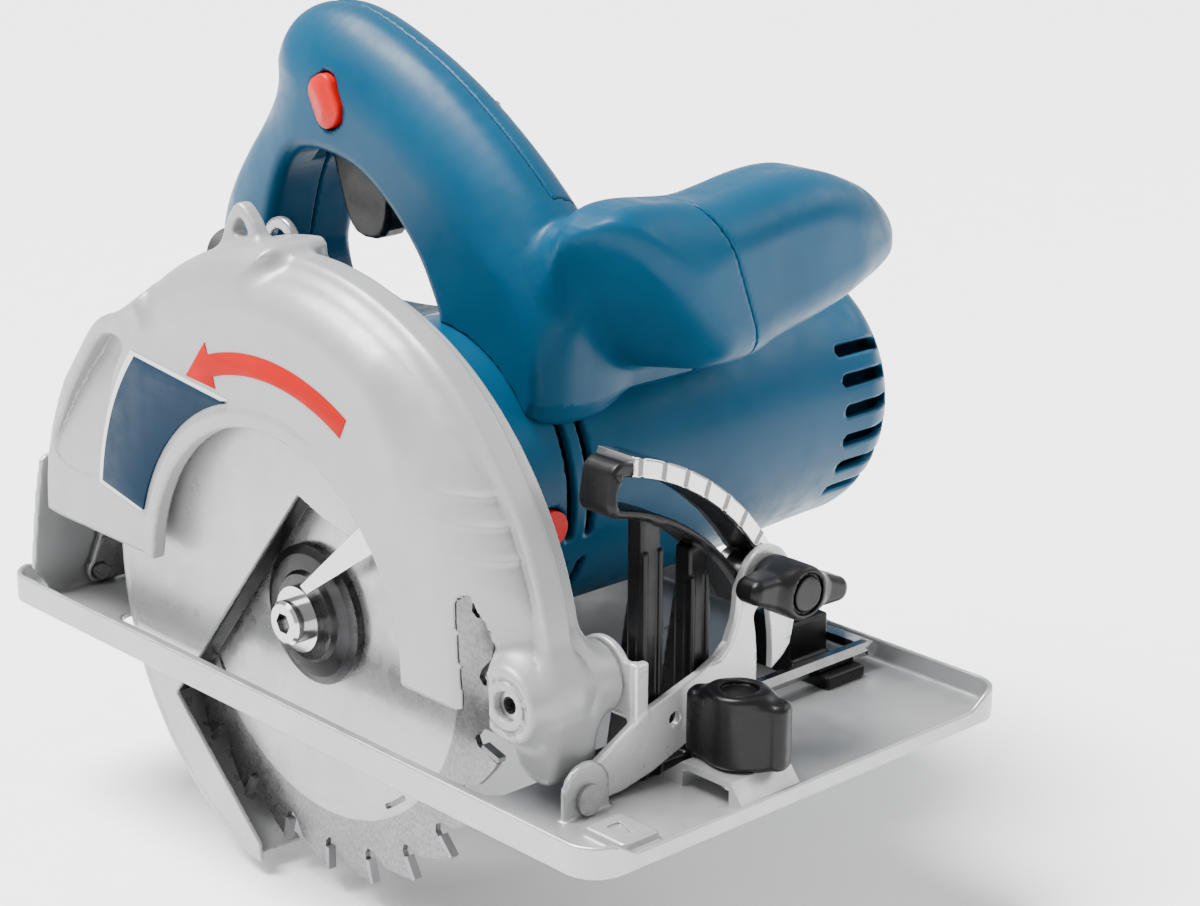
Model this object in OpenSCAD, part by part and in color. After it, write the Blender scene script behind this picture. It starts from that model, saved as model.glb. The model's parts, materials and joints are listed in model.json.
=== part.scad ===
// Hand-held circular saw with a tilting, depth-adjustable base plate.
// Frame: origin at the centre of the base plate's underside, +X forward (the way the saw cuts),
// +Y towards the motor side, +Z up. Millimetres.

/* [Blade] */
// Saw blade diameter
blade_d = 160; // [150:1:165]
// Deepest square cut below the base plate
cut_depth = 54; // [50:1:56]
// Number of teeth on the blade
blade_teeth = 24; // [18:2:40]
// Thickness of the blade plate
blade_t = 1.8; // [1.2:0.1:2.2]

/* [Base plate] */
// Length of the base plate, along the cut
base_l = 272; // [260:1:290]
// Width of the base plate
base_w = 160; // [156:1:170]
// Thickness of the pressed plate
plate_t = 2; // [1.5:0.1:2.5]
// Height of the turned-up side rims
rim_h = 8.5; // [6:0.1:8.5]

/* [Adjustments] */
// Height of the tilt axis above the sole
tilt_z = 6.5; // [6:0.1:7]
// Height of the depth pivot above the sole
depth_pivot_z = 31; // [30:0.5:32]
// Radius of the depth slot about the depth pivot
depth_slot_r = 158; // [156:1:160]

/* [Motor] */
// Outer diameter of the motor housing at the guard end
motor_d = 92; // [90:1:93]
// Height of the motor housing's centre line
motor_z = 57.25; // [57:0.25:59]
// Gear module
gear_m = 1.1; // [1.05:0.05:1.1]
// Teeth on the armature pinion
pinion_teeth = 8; // [8:1:8]
// Teeth on the spindle gear
gear_teeth = 40; // [40:1:40]

/* [Hidden] */
$fn = 64;

fit = 0.05;        // radial clearance of a running fit
gap = 0.3;         // clearance between curved faces of different bodies

// Blade and spindle
blade_r = blade_d/2;
blade_y = -56;
spin_x = -3;
spin_z = blade_r - cut_depth;
flange_r = 20.5;
bore_r = 10;

// Armature, straight above the spindle
centre_d = gear_m*(pinion_teeth + gear_teeth)/2;
arm_x = spin_x;
arm_z = spin_z + centre_d;
bearing_y = -50.5;     // blade-side face of the spindle's ball bearing
gear_y0 = -36;
gear_y1 = -28;
pressure_a = 25;
tooth_share = 0.46;    // share of the pitch that is tooth; the rest is the gap and the backlash
pinion_tip_r = gear_m*(pinion_teeth/2 + 1.05);
gear_tip_r = gear_m*(gear_teeth/2 + 0.5);
pinion_root_r = centre_d - gear_tip_r - 0.3;
gear_root_r = centre_d - pinion_tip_r - 0.3;

// Upper guard
guard_r = 100;         // outer radius of the blade-side shell
guard_round = 12;      // radius of its blade-side edge
flange_r2 = 104;       // outer radius of the flange where the guard's two halves meet
flange_y0 = -61;
flange_y1 = -52.5;
far_r = 98.5;          // outer radius of the gear-side half
chute_r = 107;         // outer radius of the chip channel over the rear
chute_y0 = -69;
chute_y1 = -46;
chute_a0 = 93;         // angles over which the channel lies on the band
chute_a1 = 134;
guard_wall = 3;
guard_y0 = -74;        // blade-side face
guard_y1 = -45;        // gear-side face
guard_back = 2.8;      // thickness of the gear-side wall
window_r = 57;
hub_r = 23.75;         // collar that the lower guard turns on
hub_y0 = -51.2;
guard_floor = 31;      // height of the guard's rear bottom edge
guard_front_floor = 26;
barrel_r = 9.5;
barrel_y0 = -70;
barrel_y1 = -37.5;
cavity_r = guard_r - 4;
cavity_y = guard_y0 + 7;   // blade side of this, the cavity is narrower, inside the rounded edge
cavity_near_r = guard_r - 9;

// Lower guard
lower_r = 86;
lower_t = 1.5;
lower_y0 = -66;
lower_y1 = -48.6;

// Depth and tilt
pivot_x = 92;
pivot_pin_r = 4;
depth_a = 33.5;        // depth travel, degrees
slot_a0 = 3;           // depth bolt's angle above the pivot's level
depth_bolt_r = 4;
rear_bracket_y0 = -43.6;
rear_bracket_t = 2.5;
clamp_x = pivot_x - depth_slot_r*cos(slot_a0);
clamp_z = depth_pivot_z + depth_slot_r*sin(slot_a0);
tilt_y = blade_y;
tilt_a = 45;
quad_x0 = 95;
quad_x1 = 101;
quad_r = 80;           // radius of the bevel slot about the tilt axis
quad_a0 = 32;          // bevel bolt's angle at a square cut
bevel_bolt_r = 3;
bracket_x0 = 103;
bracket_t = 2.5;
bracket_x1 = bracket_x0 + bracket_t;
knob_y = tilt_y + quad_r*cos(quad_a0);
knob_z = tilt_z + quad_r*sin(quad_a0);
rear_tab_x0 = -121.5;
rear_ear_x1 = -122.2;
ear_t = 2;

// Base plate opening
slot_x0 = -92;
slot_x1 = 84;
slot_y0 = -68;
slot_y1 = -37.5;

// Rip fence clamp
fence_x = 122;
fence_y = -15;

// Motor
motor_r = motor_d/2;
motor_y0 = -44.6;
motor_end_y = 146;
motor_wall = 3;
collar_y0 = -14;
collar_y1 = -6;
fan_y0 = -2;
fan_y1 = 12;
core_y0 = 26;
core_y1 = 72;
com_y0 = 84;
com_y1 = 98;
rear_bearing_y = 109;
lock_y = (collar_y0 + collar_y1)/2;

// Main handle, symmetric about this plane
grip_y = 5;
grip_half = 17.5;
grip_gap = 0.05;
hair = 0.15;           // clearance between the front handle and the main handle
trigger_x = -38;
trigger_z = 151;
lock_x = -52.5;
lock_z = 160;
lock_lean = -28;       // the lock-off button leans back, degrees

// ---- helpers: flat outlines in the X-Z, Y-Z planes and rods along each axis ----
module along_y(y0, y1) { translate([0, y1, 0]) rotate([90, 0, 0]) linear_extrude(y1 - y0) children(); }
module along_x(x0, x1) { translate([x0, 0, 0]) rotate([90, 0, 90]) linear_extrude(x1 - x0) children(); }
module rod_y(x, z, y0, y1, r) { translate([x, y0, z]) rotate([-90, 0, 0]) cylinder(h = y1 - y0, r = r); }
module rod_x(y, z, x0, x1, r) { translate([x0, y, z]) rotate([0, 90, 0]) cylinder(h = x1 - x0, r = r); }
module rod_z(x, y, z0, z1, r) { translate([x, y, z0]) cylinder(h = z1 - z0, r = r); }
module turn_y(x, z) { translate([x, 0, z]) rotate([-90, 0, 0]) rotate_extrude($fn = 128) children(); }
module tube_y(x, z, y0, y1, r_out, r_in) {
  difference() {
    rod_y(x, z, y0, y1, r_out);
    rod_y(x, z, y0 - 1, y1 + 1, r_in);
  }
}
module disc2(x, z, r) { translate([x, z]) circle(r); }
module rect2(x0, z0, x1, z1) { translate([x0, z0]) square([x1 - x0, z1 - z0]); }
function on_arc(x, z, r, a) = [x + r*cos(a), z + r*sin(a)];
// Pie slice from angle a0 to a1, reaching past radius r
module pie2(x, z, r, a0, a1, n = 12) {
  polygon(concat([[x, z]], [for (i = [0:n]) on_arc(x, z, r*1.2, a0 + (a1 - a0)*i/n)]));
}
// Round-ended slot that follows an arc
module arc_slot2(x, z, r, half, a0, a1) {
  intersection() {
    difference() {
      disc2(x, z, r + half);
      disc2(x, z, r - half);
    }
    pie2(x, z, r + half, a0, a1);
  }
  // ends a hair wider than the slot, as a cutter leaves them
  for (a = [a0, a1]) translate(on_arc(x, z, r, a)) circle(half + 0.05);
}
module round_rect2(x0, z0, x1, z1, r) {
  rect2(x0 + r, z0, x1 - r, z1);
  rect2(x0, z0 + r, x1, z1 - r);
  for (x = [x0 + r, x1 - r]) for (z = [z0 + r, z1 - r]) disc2(x, z, r);
}
// Angle between an involute's start and its point at pressure angle p, degrees
function involute_a(p) = tan(p)*180/PI - p;
// Half the angle that a tooth spans at radius r
function tooth_half(teeth, r) =
  let (base_r = gear_m*teeth/2*cos(pressure_a))
  tooth_share*180/teeth + involute_a(pressure_a) - involute_a(acos(min(1, base_r/r)));
// Involute spur wheel outline, with a tooth centred on angle a0
module spur2(teeth, tip_r, root_r, a0) {
  steps = 5;
  flank = [for (i = [0:steps]) root_r + (tip_r - root_r)*i/steps];
  polygon([for (k = [0:teeth - 1]) let (a = a0 + k*360/teeth)
    each concat([for (r = flank) on_arc(0, 0, r, a - tooth_half(teeth, r))],
      [for (i = [steps:-1:0]) on_arc(0, 0, flank[i], a + tooth_half(teeth, flank[i]))])]);
}

// ---- base plate and what is fixed to it ----
plate_x = base_l/2;
plate_y = base_w/2;
rim_t = 1.5;
lip_h = 4.5;
module base_outline2(inset = 0) {
  round_rect2(-plate_x + inset, -plate_y + inset, plate_x - inset, plate_y - inset, 10 - inset);
}
module base_opening2() {
  round_rect2(slot_x0, slot_y0, slot_x1, slot_y1, 5);
  // relief under the gear case
  round_rect2(spin_x - 33, slot_y1 - 12, spin_x + 33, -13, 4);
}
module base_plate() color([0.78, 0.79, 0.80]) {
  difference() {
    linear_extrude(plate_t) base_outline2();
    translate([0, 0, -1]) linear_extrude(plate_t + 2) base_opening2();
    rod_z(fence_x, fence_y, -1, plate_t + 1, 3.4);
    rod_z(86.5, -20.5, -1, plate_t + 1, 2.1);
  }
  // turned-up rim: high along both long sides, low across the ends
  difference() {
    linear_extrude(rim_h) base_outline2();
    translate([0, 0, -1]) linear_extrude(rim_h + 2) base_outline2(rim_t);
    translate([plate_x - 12, -plate_y + 8, lip_h]) cube([20, base_w - 16, rim_h]);
    translate([-plate_x - 8, -plate_y + 16, lip_h]) cube([20, base_w - 32, rim_h]);
  }
  // front ear with the tilt pin's hole
  difference() {
    along_x(bracket_x1 + 0.5, bracket_x1 + 2.5) {
      rect2(tilt_y - 8, plate_t - 0.2, tilt_y + 8, tilt_z + 2);
      disc2(tilt_y, tilt_z + 2, 8);
    }
    rod_x(tilt_y, tilt_z, bracket_x0, bracket_x1 + 4, 2.5);
  }
  // rear ear, taller, which backs the tilting frame
  difference() {
    along_x(rear_ear_x1 - ear_t, rear_ear_x1) polygon([[-plate_y + 1, plate_t - 0.2], [-73, 46],
      [-64, 48], [-46, 14], [-46, plate_t - 0.2]]);
    rod_x(tilt_y, tilt_z, -126, -119, 2.5);
  }
  // stiffening bead along the blade side
  for (x = [[-120, -24], [8, 112]]) translate([x[0], -76.8, plate_t - 0.1]) cube([x[1] - x[0], 3, 1.6]);
}
// Bridge over the rip fence's bar, with its two feet on the plate
module fence_bridge() color([0.80, 0.81, 0.82]) difference() {
  along_y(fence_y - 11, fence_y + 11) difference() {
    polygon([[105.5, plate_t], [105.5, plate_t + 1.8], [112, 9], [130, 9], [134.3, plate_t + 1.8],
      [134.3, plate_t]]);
    rect2(112.5, 0, 129.5, 7.2);
  }
  rod_z(fence_x, fence_y, 0, 20, 3.4);
}
module bevel_pins() color([0.6, 0.6, 0.62]) {
  rod_x(tilt_y, tilt_z, bracket_x0 - 1.5, bracket_x1 + 2.5, 2.5);
  rod_x(tilt_y, tilt_z, bracket_x1 + 2.5, bracket_x1 + 4, 4.2);
  rod_x(tilt_y, tilt_z, rear_ear_x1 - ear_t, rear_tab_x0 + 3.7, 2.5);
  rod_x(tilt_y, tilt_z, rear_ear_x1 - ear_t - 1.5, rear_ear_x1 - ear_t, 4.2);
}
quad_half = 7.5;
quad_slot = bevel_bolt_r + gap;
post_y = -31.5;        // clear of the depth pivot pin's head
module bevel_quadrant() color([0.1, 0.1, 0.11]) {
  difference() {
    union() {
      along_x(quad_x0, quad_x1) difference() {
        union() {
          intersection() {
            difference() {
              disc2(tilt_y, tilt_z, quad_r + quad_half);
              disc2(tilt_y, tilt_z, quad_r - quad_half);
            }
            pie2(tilt_y, tilt_z, quad_r + quad_half, quad_a0 - 6, quad_a0 + tilt_a + 3.5);
          }
          // two posts down to the foot
          rect2(post_y, plate_t, post_y + 7, 78);
          rect2(-14, plate_t, -7, 67);
        }
        arc_slot2(tilt_y, tilt_z, quad_r, quad_slot, quad_a0, quad_a0 + tilt_a);
      }
      // foot plate and the webs behind the posts
      translate([84, -36, plate_t]) cube([18, 31, 3]);
      for (y = [post_y + 1, -12]) along_y(y, y + 3) polygon([[86, 4], [quad_x0 + 2, 4], [quad_x0 + 2, 56],
        [quad_x0 - 1, 56]]);
    }
    rod_z(86.5, -20.5, plate_t - 1, 8, 2.1);
  }
}
module quadrant_screws() color([0.55, 0.55, 0.57]) {
  rod_z(86.5, -20.5, 0.4, 5, 2.1);
  rod_z(86.5, -20.5, 5, 7.2, 3.6);
}
scale_r = quad_r + quad_half;
module bevel_scale() color([0.8, 0.8, 0.82]) {
  along_x(quad_x0 - 7, quad_x1) intersection() {
    difference() {
      disc2(tilt_y, tilt_z, scale_r + 1.2);
      disc2(tilt_y, tilt_z, scale_r);
    }
    pie2(tilt_y, tilt_z, scale_r + 2, quad_a0 + 2, quad_a0 + tilt_a - 2);
  }
}
clip_x = 72;
clip_y = 58;
module hex_key_clip() color([0.12, 0.12, 0.13]) {
  difference() {
    along_y(clip_y - 8, clip_y + 8) {
      rect2(clip_x - 13, plate_t, clip_x + 23, 6);
      rect2(clip_x - 8, 6, clip_x + 8, 18);
      rect2(clip_x - 2, 17, clip_x + 2, 25);
      round_rect2(clip_x - 7, 23, clip_x + 7, 27, 1.9);
    }
    rod_y(clip_x + 18, 8.4, clip_y - 10, clip_y + 10, 2.6);
  }
}
module hex_key() color([0.75, 0.75, 0.77]) {
  translate([clip_x + 18, 6, 8.4]) rotate([-90, 0, 0]) cylinder(h = 66, r = 2.5, $fn = 6);
  translate([clip_x - 6, 72, 8.4]) rotate([0, 90, 0]) cylinder(h = 26.5, r = 2.5, $fn = 6);
}
module fence_knob() color([0.1, 0.1, 0.11]) difference() {
  union() {
    rod_z(fence_x, fence_y, 9.3, 30, 8.5);
    translate([fence_x, fence_y, 9.3]) for (a = [20, 200]) rotate(a) linear_extrude(19)
      round_rect2(4, -4, 14.5, 4, 2.5);
    rod_z(fence_x, fence_y, 7.4, 10, 3);
  }
  rod_z(fence_x, fence_y, 29, 31, 5);
}

// ---- tilting frame ----
module front_bracket() color([0.86, 0.87, 0.88]) {
  difference() {
    along_x(bracket_x0, bracket_x1) difference() {
      union() {
        disc2(tilt_y, tilt_z, 4);
        polygon([[tilt_y, tilt_z - 3.6], [-36, 3.4], [-12, 12], [4, 17], [18, 24], [23, 29],
          [23, knob_z + 1], [2, knob_z + 4], [-1, 36], [-8, 30], [-28, 24], [-34.5, 22],
          [-40, 19], [tilt_y, tilt_z + 4]]);
        disc2(knob_y, knob_z, 9.5);
      }
      disc2(knob_y, knob_z, bevel_bolt_r);
      arc_slot2(-60, 24, 72, 2.8, -2, 12);
      disc2(-22, 18, 2);
    }
    rod_x(tilt_y, tilt_z, bracket_x0 - 1, bracket_x1 + 1, 2.5 + fit);
  }
  // ear, bent back, that holds the depth pivot pin
  difference() {
    along_y(-36.8, -34.5) {
      disc2(pivot_x, depth_pivot_z, 10.5);
      rect2(pivot_x, 21, bracket_x0 + 0.5, depth_pivot_z + 6);
    }
    rod_y(pivot_x, depth_pivot_z, -38, -33, pivot_pin_r);
  }
  along_x(bracket_x0, bracket_x1) rect2(-36.8, 20, -32, depth_pivot_z + 6);
}
module depth_pivot_pin() color([0.6, 0.6, 0.62]) difference() {
  union() {
    rod_y(pivot_x, depth_pivot_z, -68.5, -34.5, pivot_pin_r);
    rod_y(pivot_x, depth_pivot_z, -34.5, -32.7, pivot_pin_r + 2);
  }
  rod_y(pivot_x, depth_pivot_z, -69, -50, 2.4);
}
module bevel_bolt() color([0.6, 0.6, 0.62]) {
  rod_x(knob_y, knob_z, quad_x0 - 0.5, bracket_x1 + 9, bevel_bolt_r);
  rod_x(knob_y, knob_z, quad_x0 - 3.5, quad_x0 - 0.5, 6);
}
module rear_bracket() color([0.62, 0.63, 0.65]) {
  difference() {
    along_y(rear_bracket_y0, rear_bracket_y0 + rear_bracket_t) {
      difference() {
        union() {
          intersection() {
            difference() {
              disc2(pivot_x, depth_pivot_z, depth_slot_r + 8);
              disc2(pivot_x, depth_pivot_z, depth_slot_r - 8);
            }
            pie2(pivot_x, depth_pivot_z, depth_slot_r + 8, 180 - depth_a - slot_a0 - 4.5, 180);
          }
          polygon([[rear_tab_x0, 2.6], [-80, 2.6], [clamp_x + 7, 25], [clamp_x + 7, 34],
            [-74, 40], [-100, 28], [rear_tab_x0, 28]]);
        }
        arc_slot2(pivot_x, depth_pivot_z, depth_slot_r, depth_bolt_r + gap + 0.1,
          180 - depth_a - slot_a0, 180 - slot_a0);
      }
    }
  }
  // tab, bent across the rear, that hangs on the rear tilt pin
  difference() {
    along_x(rear_tab_x0, rear_tab_x0 + rear_bracket_t) {
      disc2(tilt_y, tilt_z, 4);
      polygon([[tilt_y, tilt_z - 3.6], [rear_bracket_y0 + 1, 2.6], [rear_bracket_y0 + 1, 28],
        [tilt_y + 2, 20], [tilt_y - 3, tilt_z + 2]]);
    }
    rod_x(tilt_y, tilt_z, rear_tab_x0 - 1, rear_tab_x0 + 4, 2.5 + fit);
  }
}
module bevel_knob() color([0.1, 0.1, 0.11]) difference() {
  union() {
    rod_x(knob_y, knob_z, bracket_x1 + gap, bracket_x1 + 15, 7);
    along_x(bracket_x1 + 4, bracket_x1 + 14) {
      translate([knob_y, knob_z]) rotate(-12) round_rect2(-19, -5, 19, 5, 3);
    }
  }
  rod_x(knob_y, knob_z, bracket_x1 - 1, bracket_x1 + 9.5, bevel_bolt_r + fit);
}

// ---- saw unit: guard ----
rear_x = -120;
// Tail of the guard, behind the band
module tail2() polygon([[-60, 112], [-77, 102], [-84, 100], [-90, 96], [-108, 74], [-117, 54], [rear_x, 38],
  [-60, guard_floor], [-40, 60]]);
// What lies below the guard's bottom edges
module below_guard2() {
  rect2(-200, -100, -30, guard_floor);
  rect2(-60, -100, 200, guard_front_floor);
}
module guard_rounding() turn_y(spin_x, spin_z) difference() {
  // removes everything outside the shell's large blade-side radius
  polygon([[80, guard_y0 - 1], [130, guard_y0 - 1], [130, flange_y0], [80, flange_y0]]);
  polygon(concat([[79, guard_y0], [79, flange_y0 + 1], [guard_r, flange_y0 + 1]],
    [for (a = [0:9:90]) [guard_r - guard_round + guard_round*cos(a),
      guard_y0 + guard_round - guard_round*sin(a)]]));
}
// Chip channel: a sector that stands proud of the band, thin less all round
module chute2(thin = 0) intersection() {
  disc2(spin_x, spin_z, chute_r - thin);
  pie2(spin_x, spin_z, chute_r, chute_a0 + thin/2, chute_a1 + 1);
}
lug_y0 = -61;
lug_y1 = -56.5;
module lug2() difference() {
  polygon([[-42, 122], [-37, 133], [-34, 139.5], [-30.5, 141.5], [-27, 140], [-22.5, 135.5], [-17, 124]]);
  polygon([[-35, 131], [-24, 131], [-29.5, 138.6]]);
}
module upper_guard() color([0.84, 0.85, 0.86]) {
  difference() {
    union() {
      difference() {
        union() {
          difference() {
            union() {
              along_y(guard_y0, flange_y0) disc2(spin_x, spin_z, guard_r);
              along_y(flange_y0, flange_y1) disc2(spin_x, spin_z, flange_r2);
              along_y(flange_y1, guard_y1) disc2(spin_x, spin_z, far_r);
            }
            guard_rounding();
          }
          along_y(chute_y0, chute_y1) chute2();
          along_y(guard_y0, guard_y1) tail2();
        }
        along_y(guard_y0 - 1, guard_y1 + 1) below_guard2();
        // blade space
        along_y(cavity_y, guard_y1 - guard_back) disc2(spin_x, spin_z, cavity_r);
        along_y(guard_y0 + guard_wall, cavity_y + 1) disc2(spin_x, spin_z, cavity_near_r);
        along_y(chute_y0 + guard_wall, guard_y1 - guard_back) chute2(guard_wall);
        along_y(guard_y0 + guard_wall, guard_y1 - guard_back)
          polygon([[-60, 104], [-76, 98], [-87, 92], [-104, 72], [-113, 53], [-116, 30], [-60, 20]]);
        // window over the flange and the blade bolt
        along_y(guard_y0 - 1, guard_y0 + guard_wall + 1) {
          disc2(spin_x, spin_z, window_r);
          rect2(spin_x - window_r, -100, spin_x + window_r, spin_z);
        }
        along_y(guard_y0 - 1, guard_y1 - guard_back) rect2(-116, 0, cavity_r + spin_x, 26);
      }
      // raised bezel round the window
      along_y(guard_y0 - 0.8, guard_y0 + 1) difference() {
        disc2(spin_x, spin_z, window_r + 4.5);
        disc2(spin_x, spin_z, window_r);
        rect2(-100, -100, 100, guard_floor + 1);
      }
      along_y(lug_y0, lug_y1) lug2();
      // pivot barrel and its web to the guard's front
      rod_y(pivot_x, depth_pivot_z, barrel_y0, barrel_y1, barrel_r);
      along_y(-68, guard_y1) polygon([[pivot_x - 8, depth_pivot_z + 4], [pivot_x + 1, 60],
        [pivot_x + 8, depth_pivot_z + 5], [pivot_x, depth_pivot_z]]);
      // lobe under the barrel that shields the blade's front
      along_y(-62, guard_y1 - 1) polygon([[84, 25], [85, 12], [90, 8], [97, 7], [101, 10], [102, 18],
        [100, 27]]);
      // hub that carries the lower guard and the spindle bearing
      rod_y(spin_x, spin_z, hub_y0, guard_y1, hub_r);
      along_y(guard_y1 - guard_back, guard_y1) {
        disc2(spin_x, spin_z, 40);
      }
    }
    intersection() {
      along_y(-72, guard_y1 - guard_back) disc2(spin_x, spin_z, lower_r + 3);
      union() {
        rod_y(pivot_x, depth_pivot_z, -80, -30, 30);
        translate([-200, -100, -100]) cube([400, 28, 50]);
      }
    }
    along_y(hub_y0 - 1, guard_y1 + 1) disc2(spin_x, spin_z, 16);
    // groove for the ring that keeps the lower guard on
    tube_y(spin_x, spin_z, -50.9, -50.2, 26, 22.6);
    rod_y(pivot_x, depth_pivot_z, barrel_y0 - 5, barrel_y1 + 1, pivot_pin_r + fit);
    rod_y(clamp_x, clamp_z, guard_y1 - 6, guard_y1 + 1, depth_bolt_r);
    // flat under the hub, clear of the sole
    translate([-60, guard_y1 - guard_back - 0.1, -60]) cube([120, 8, 60 + 1.2]);
  }
}
module guard_panel() color([0.0, 0.22, 0.36]) along_y(guard_y0 - 0.6, guard_y0) difference() {
  polygon([[-67, 93], [-19, 87], [-19, 20], [-60, 40], [-86, 46], [-81, 70]]);
  disc2(spin_x, spin_z, window_r + 6);
  rect2(-200, 0, 200, 43);
}
module guard_ring() color([0.5, 0.5, 0.52]) difference() {
  tube_y(spin_x, spin_z, -50.85, -50.25, 25.4, 22.7);
  along_y(-52, -50) rect2(spin_x - 3, spin_z - 30, spin_x + 3, spin_z);
}
module guard_spring() color([0.55, 0.55, 0.57]) {
  // flat coil behind the lower guard's wall
  for (k = [0:2]) tube_y(spin_x, spin_z, -48.3, -47.9, 25 + 1.6*k, 24.2 + 1.6*k);
  along_y(-48.3, -47.9) rect2(spin_x + 24.5, spin_z - 1, spin_x + 30, spin_z + 1);
}
module depth_clamp_bolt() color([0.6, 0.6, 0.62]) {
  rod_y(clamp_x, clamp_z, guard_y1 - guard_back, -29, depth_bolt_r);
  rod_y(clamp_x, clamp_z, -29, -26.5, depth_bolt_r + 2.5);
}
module depth_lever() color([0.12, 0.12, 0.13]) difference() {
  union() {
    rod_y(clamp_x, clamp_z, -40.8, -29.2, 9);
    translate([clamp_x, 0, clamp_z]) rotate([0, 30, 0]) along_y(-38, -31) round_rect2(-42, -5, 2, 5, 4.5);
  }
  rod_y(clamp_x, clamp_z, -42, -28, depth_bolt_r + fit);
}

// ---- saw unit: gear case and bearings ----
case_r = 25.3;
module case_outline2(inset = 0) {
  difference() {
    union() {
      disc2(spin_x, spin_z, case_r - inset);
      disc2(arm_x, arm_z, 24 - inset);
      rect2(arm_x - 24 + inset, spin_z + 4, arm_x + 24 - inset, arm_z);
    }
    rect2(-60, -60, 60, 0.8 + inset/2);
  }
}
module gear_housing() color([0.6, 0.61, 0.62]) difference() {
  along_y(guard_y1, -26) case_outline2();
  along_y(guard_y1 + 4, -25) case_outline2(1.3);
  rod_y(spin_x, spin_z, guard_y1 - 1, guard_y1 + 5, 16);
}
module bearing_bracket() color([0.66, 0.67, 0.68]) difference() {
  along_y(-26, -16) case_outline2();
  rod_y(arm_x, arm_z, -24, -15, 11);
  rod_y(arm_x, arm_z, -27, -23, 7);
  rod_y(spin_x, spin_z, -27, -18, 8);
}
module ball_bearing(x, z, y0, w, r_out, r_in) {
  t = (r_out - r_in)*0.3;
  tube_y(x, z, y0, y0 + w, r_out, r_out - t);
  tube_y(x, z, y0, y0 + w, r_in + t, r_in);
  tube_y(x, z, y0 + 1, y0 + w - 1, r_out - t, r_in + t);
}
module spindle_bearing() color([0.7, 0.7, 0.72]) ball_bearing(spin_x, spin_z, bearing_y, 9.3, 16,
  6 + fit);
module spindle_bushing() color([0.72, 0.55, 0.3]) tube_y(spin_x, spin_z, -26, -18, 8, 5 + fit);
module front_armature_bearing() color([0.7, 0.7, 0.72]) ball_bearing(arm_x, arm_z, -24, 7, 11, 4 + fit);
module rear_armature_bearing() color([0.7, 0.7, 0.72])
  ball_bearing(arm_x, arm_z, rear_bearing_y, 6, 9.5, 3.5 + fit);

// ---- saw unit: motor ----
dome_r = 18;
module motor_skin2(d) {
  // radius against Y: straight, gently tapered, then rounded over at the end
  polygon(concat([[0, motor_y0 - 1 + (d > 0 ? -1 : 1)], [motor_r - d, motor_y0 - 1 + (d > 0 ? -1 : 1)],
    [motor_r - d, 60], [motor_r - 3 - d, motor_end_y - dome_r]],
    [for (a = [15:15:75]) [motor_r - 3 - dome_r + (dome_r - d)*cos(a),
      motor_end_y - dome_r + (dome_r - d)*sin(a)]],
    [[motor_r - 3 - dome_r, motor_end_y - d], [0, motor_end_y - d]]));
}
module motor_housing() color([0.06, 0.36, 0.52]) {
  difference() {
    union() {
      difference() {
        turn_y(arm_x, motor_z) motor_skin2(0);
        turn_y(arm_x, motor_z) motor_skin2(motor_wall);
      }
      // ribs that hold the stator
      intersection() {
        turn_y(arm_x, motor_z) motor_skin2(1);
        along_y(core_y0, core_y1) difference() {
          for (a = [45, 135, 225, 315]) translate([arm_x, arm_z]) rotate(a) rect2(34, -3, 60, 3);
          disc2(arm_x, arm_z, 35);
        }
      }
      // rear bearing seat
      tube_y(arm_x, arm_z, rear_bearing_y, motor_end_y - 1.5, 13, 9.5);
    }
    translate([-100, motor_y0 - 20, 0]) cube([200, 20, 200]);
    // opening round the gear case
    along_y(motor_y0 - 1, -15.7) {
      disc2(spin_x, spin_z, case_r + gap);
      disc2(arm_x, arm_z, 24 + gap);
    }
    // side vents near the guard
    for (y = [-3.2, 4.2]) vent_band(y, 2.6, -14, 34);
    for (y = [-3.2, 4.2]) vent_band(y, 2.6, -40, -24);
    // end vents
    for (a = [-36:13:29]) vent_end(a);
    rod_x(lock_y, arm_z, 25, 60, 5 + gap);
  }
  // guide for the spindle lock
  difference() {
    rod_x(lock_y, arm_z, arm_x + 25, arm_x + 30, 6.5);
    rod_x(lock_y, arm_z, arm_x + 20, arm_x + 50, 2.5 + fit);
  }
  translate([arm_x + 25, lock_y + 5.4, arm_z - 3]) cube([20, 1.8, 6]);
}
module vent_band(y, w, a0, a1) along_y(y, y + w) intersection() {
  difference() {
    disc2(arm_x, motor_z, motor_r + 5);
    disc2(arm_x, motor_z, motor_r - motor_wall - 1.5);
  }
  pie2(arm_x, motor_z, motor_r + 5, a0, a1);
}
module vent_end(a) translate([arm_x, 0, motor_z]) rotate([0, -a, 0])
  translate([motor_r - 16, 116, -1.7]) cube([30, 24, 3.4]);
module stator_core() color([0.45, 0.45, 0.47]) along_y(core_y0, core_y1) difference() {
  disc2(arm_x, arm_z, 35);
  disc2(arm_x, arm_z, 21.6);
  for (s = [-1, 1]) for (t = [-1, 1]) rect2(arm_x + s*24 - 4.5, arm_z + t*13 - 7, arm_x + s*24 + 4.5,
    arm_z + t*13 + 7);
}
module field_coils() color([0.62, 0.33, 0.12]) for (s = [-1, 1]) {
  for (t = [-1, 1]) along_y(core_y0 - 6, core_y1 + 6)
    rect2(arm_x + t*24 - 4, arm_z + s*13 - 6.5, arm_x + t*24 + 4, arm_z + s*13 + 6.5);
  for (y = [core_y0 - 6, core_y1 + 1]) along_y(y, y + 5) intersection() {
    difference() {
      disc2(arm_x, arm_z, 34);
      disc2(arm_x, arm_z, 24.5);
    }
    rect2(arm_x - 20.1, arm_z + s*20 - 19, arm_x + 20.1, arm_z + s*20 + 19);
  }
}
brush_y = (com_y0 + com_y1)/2;
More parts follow.
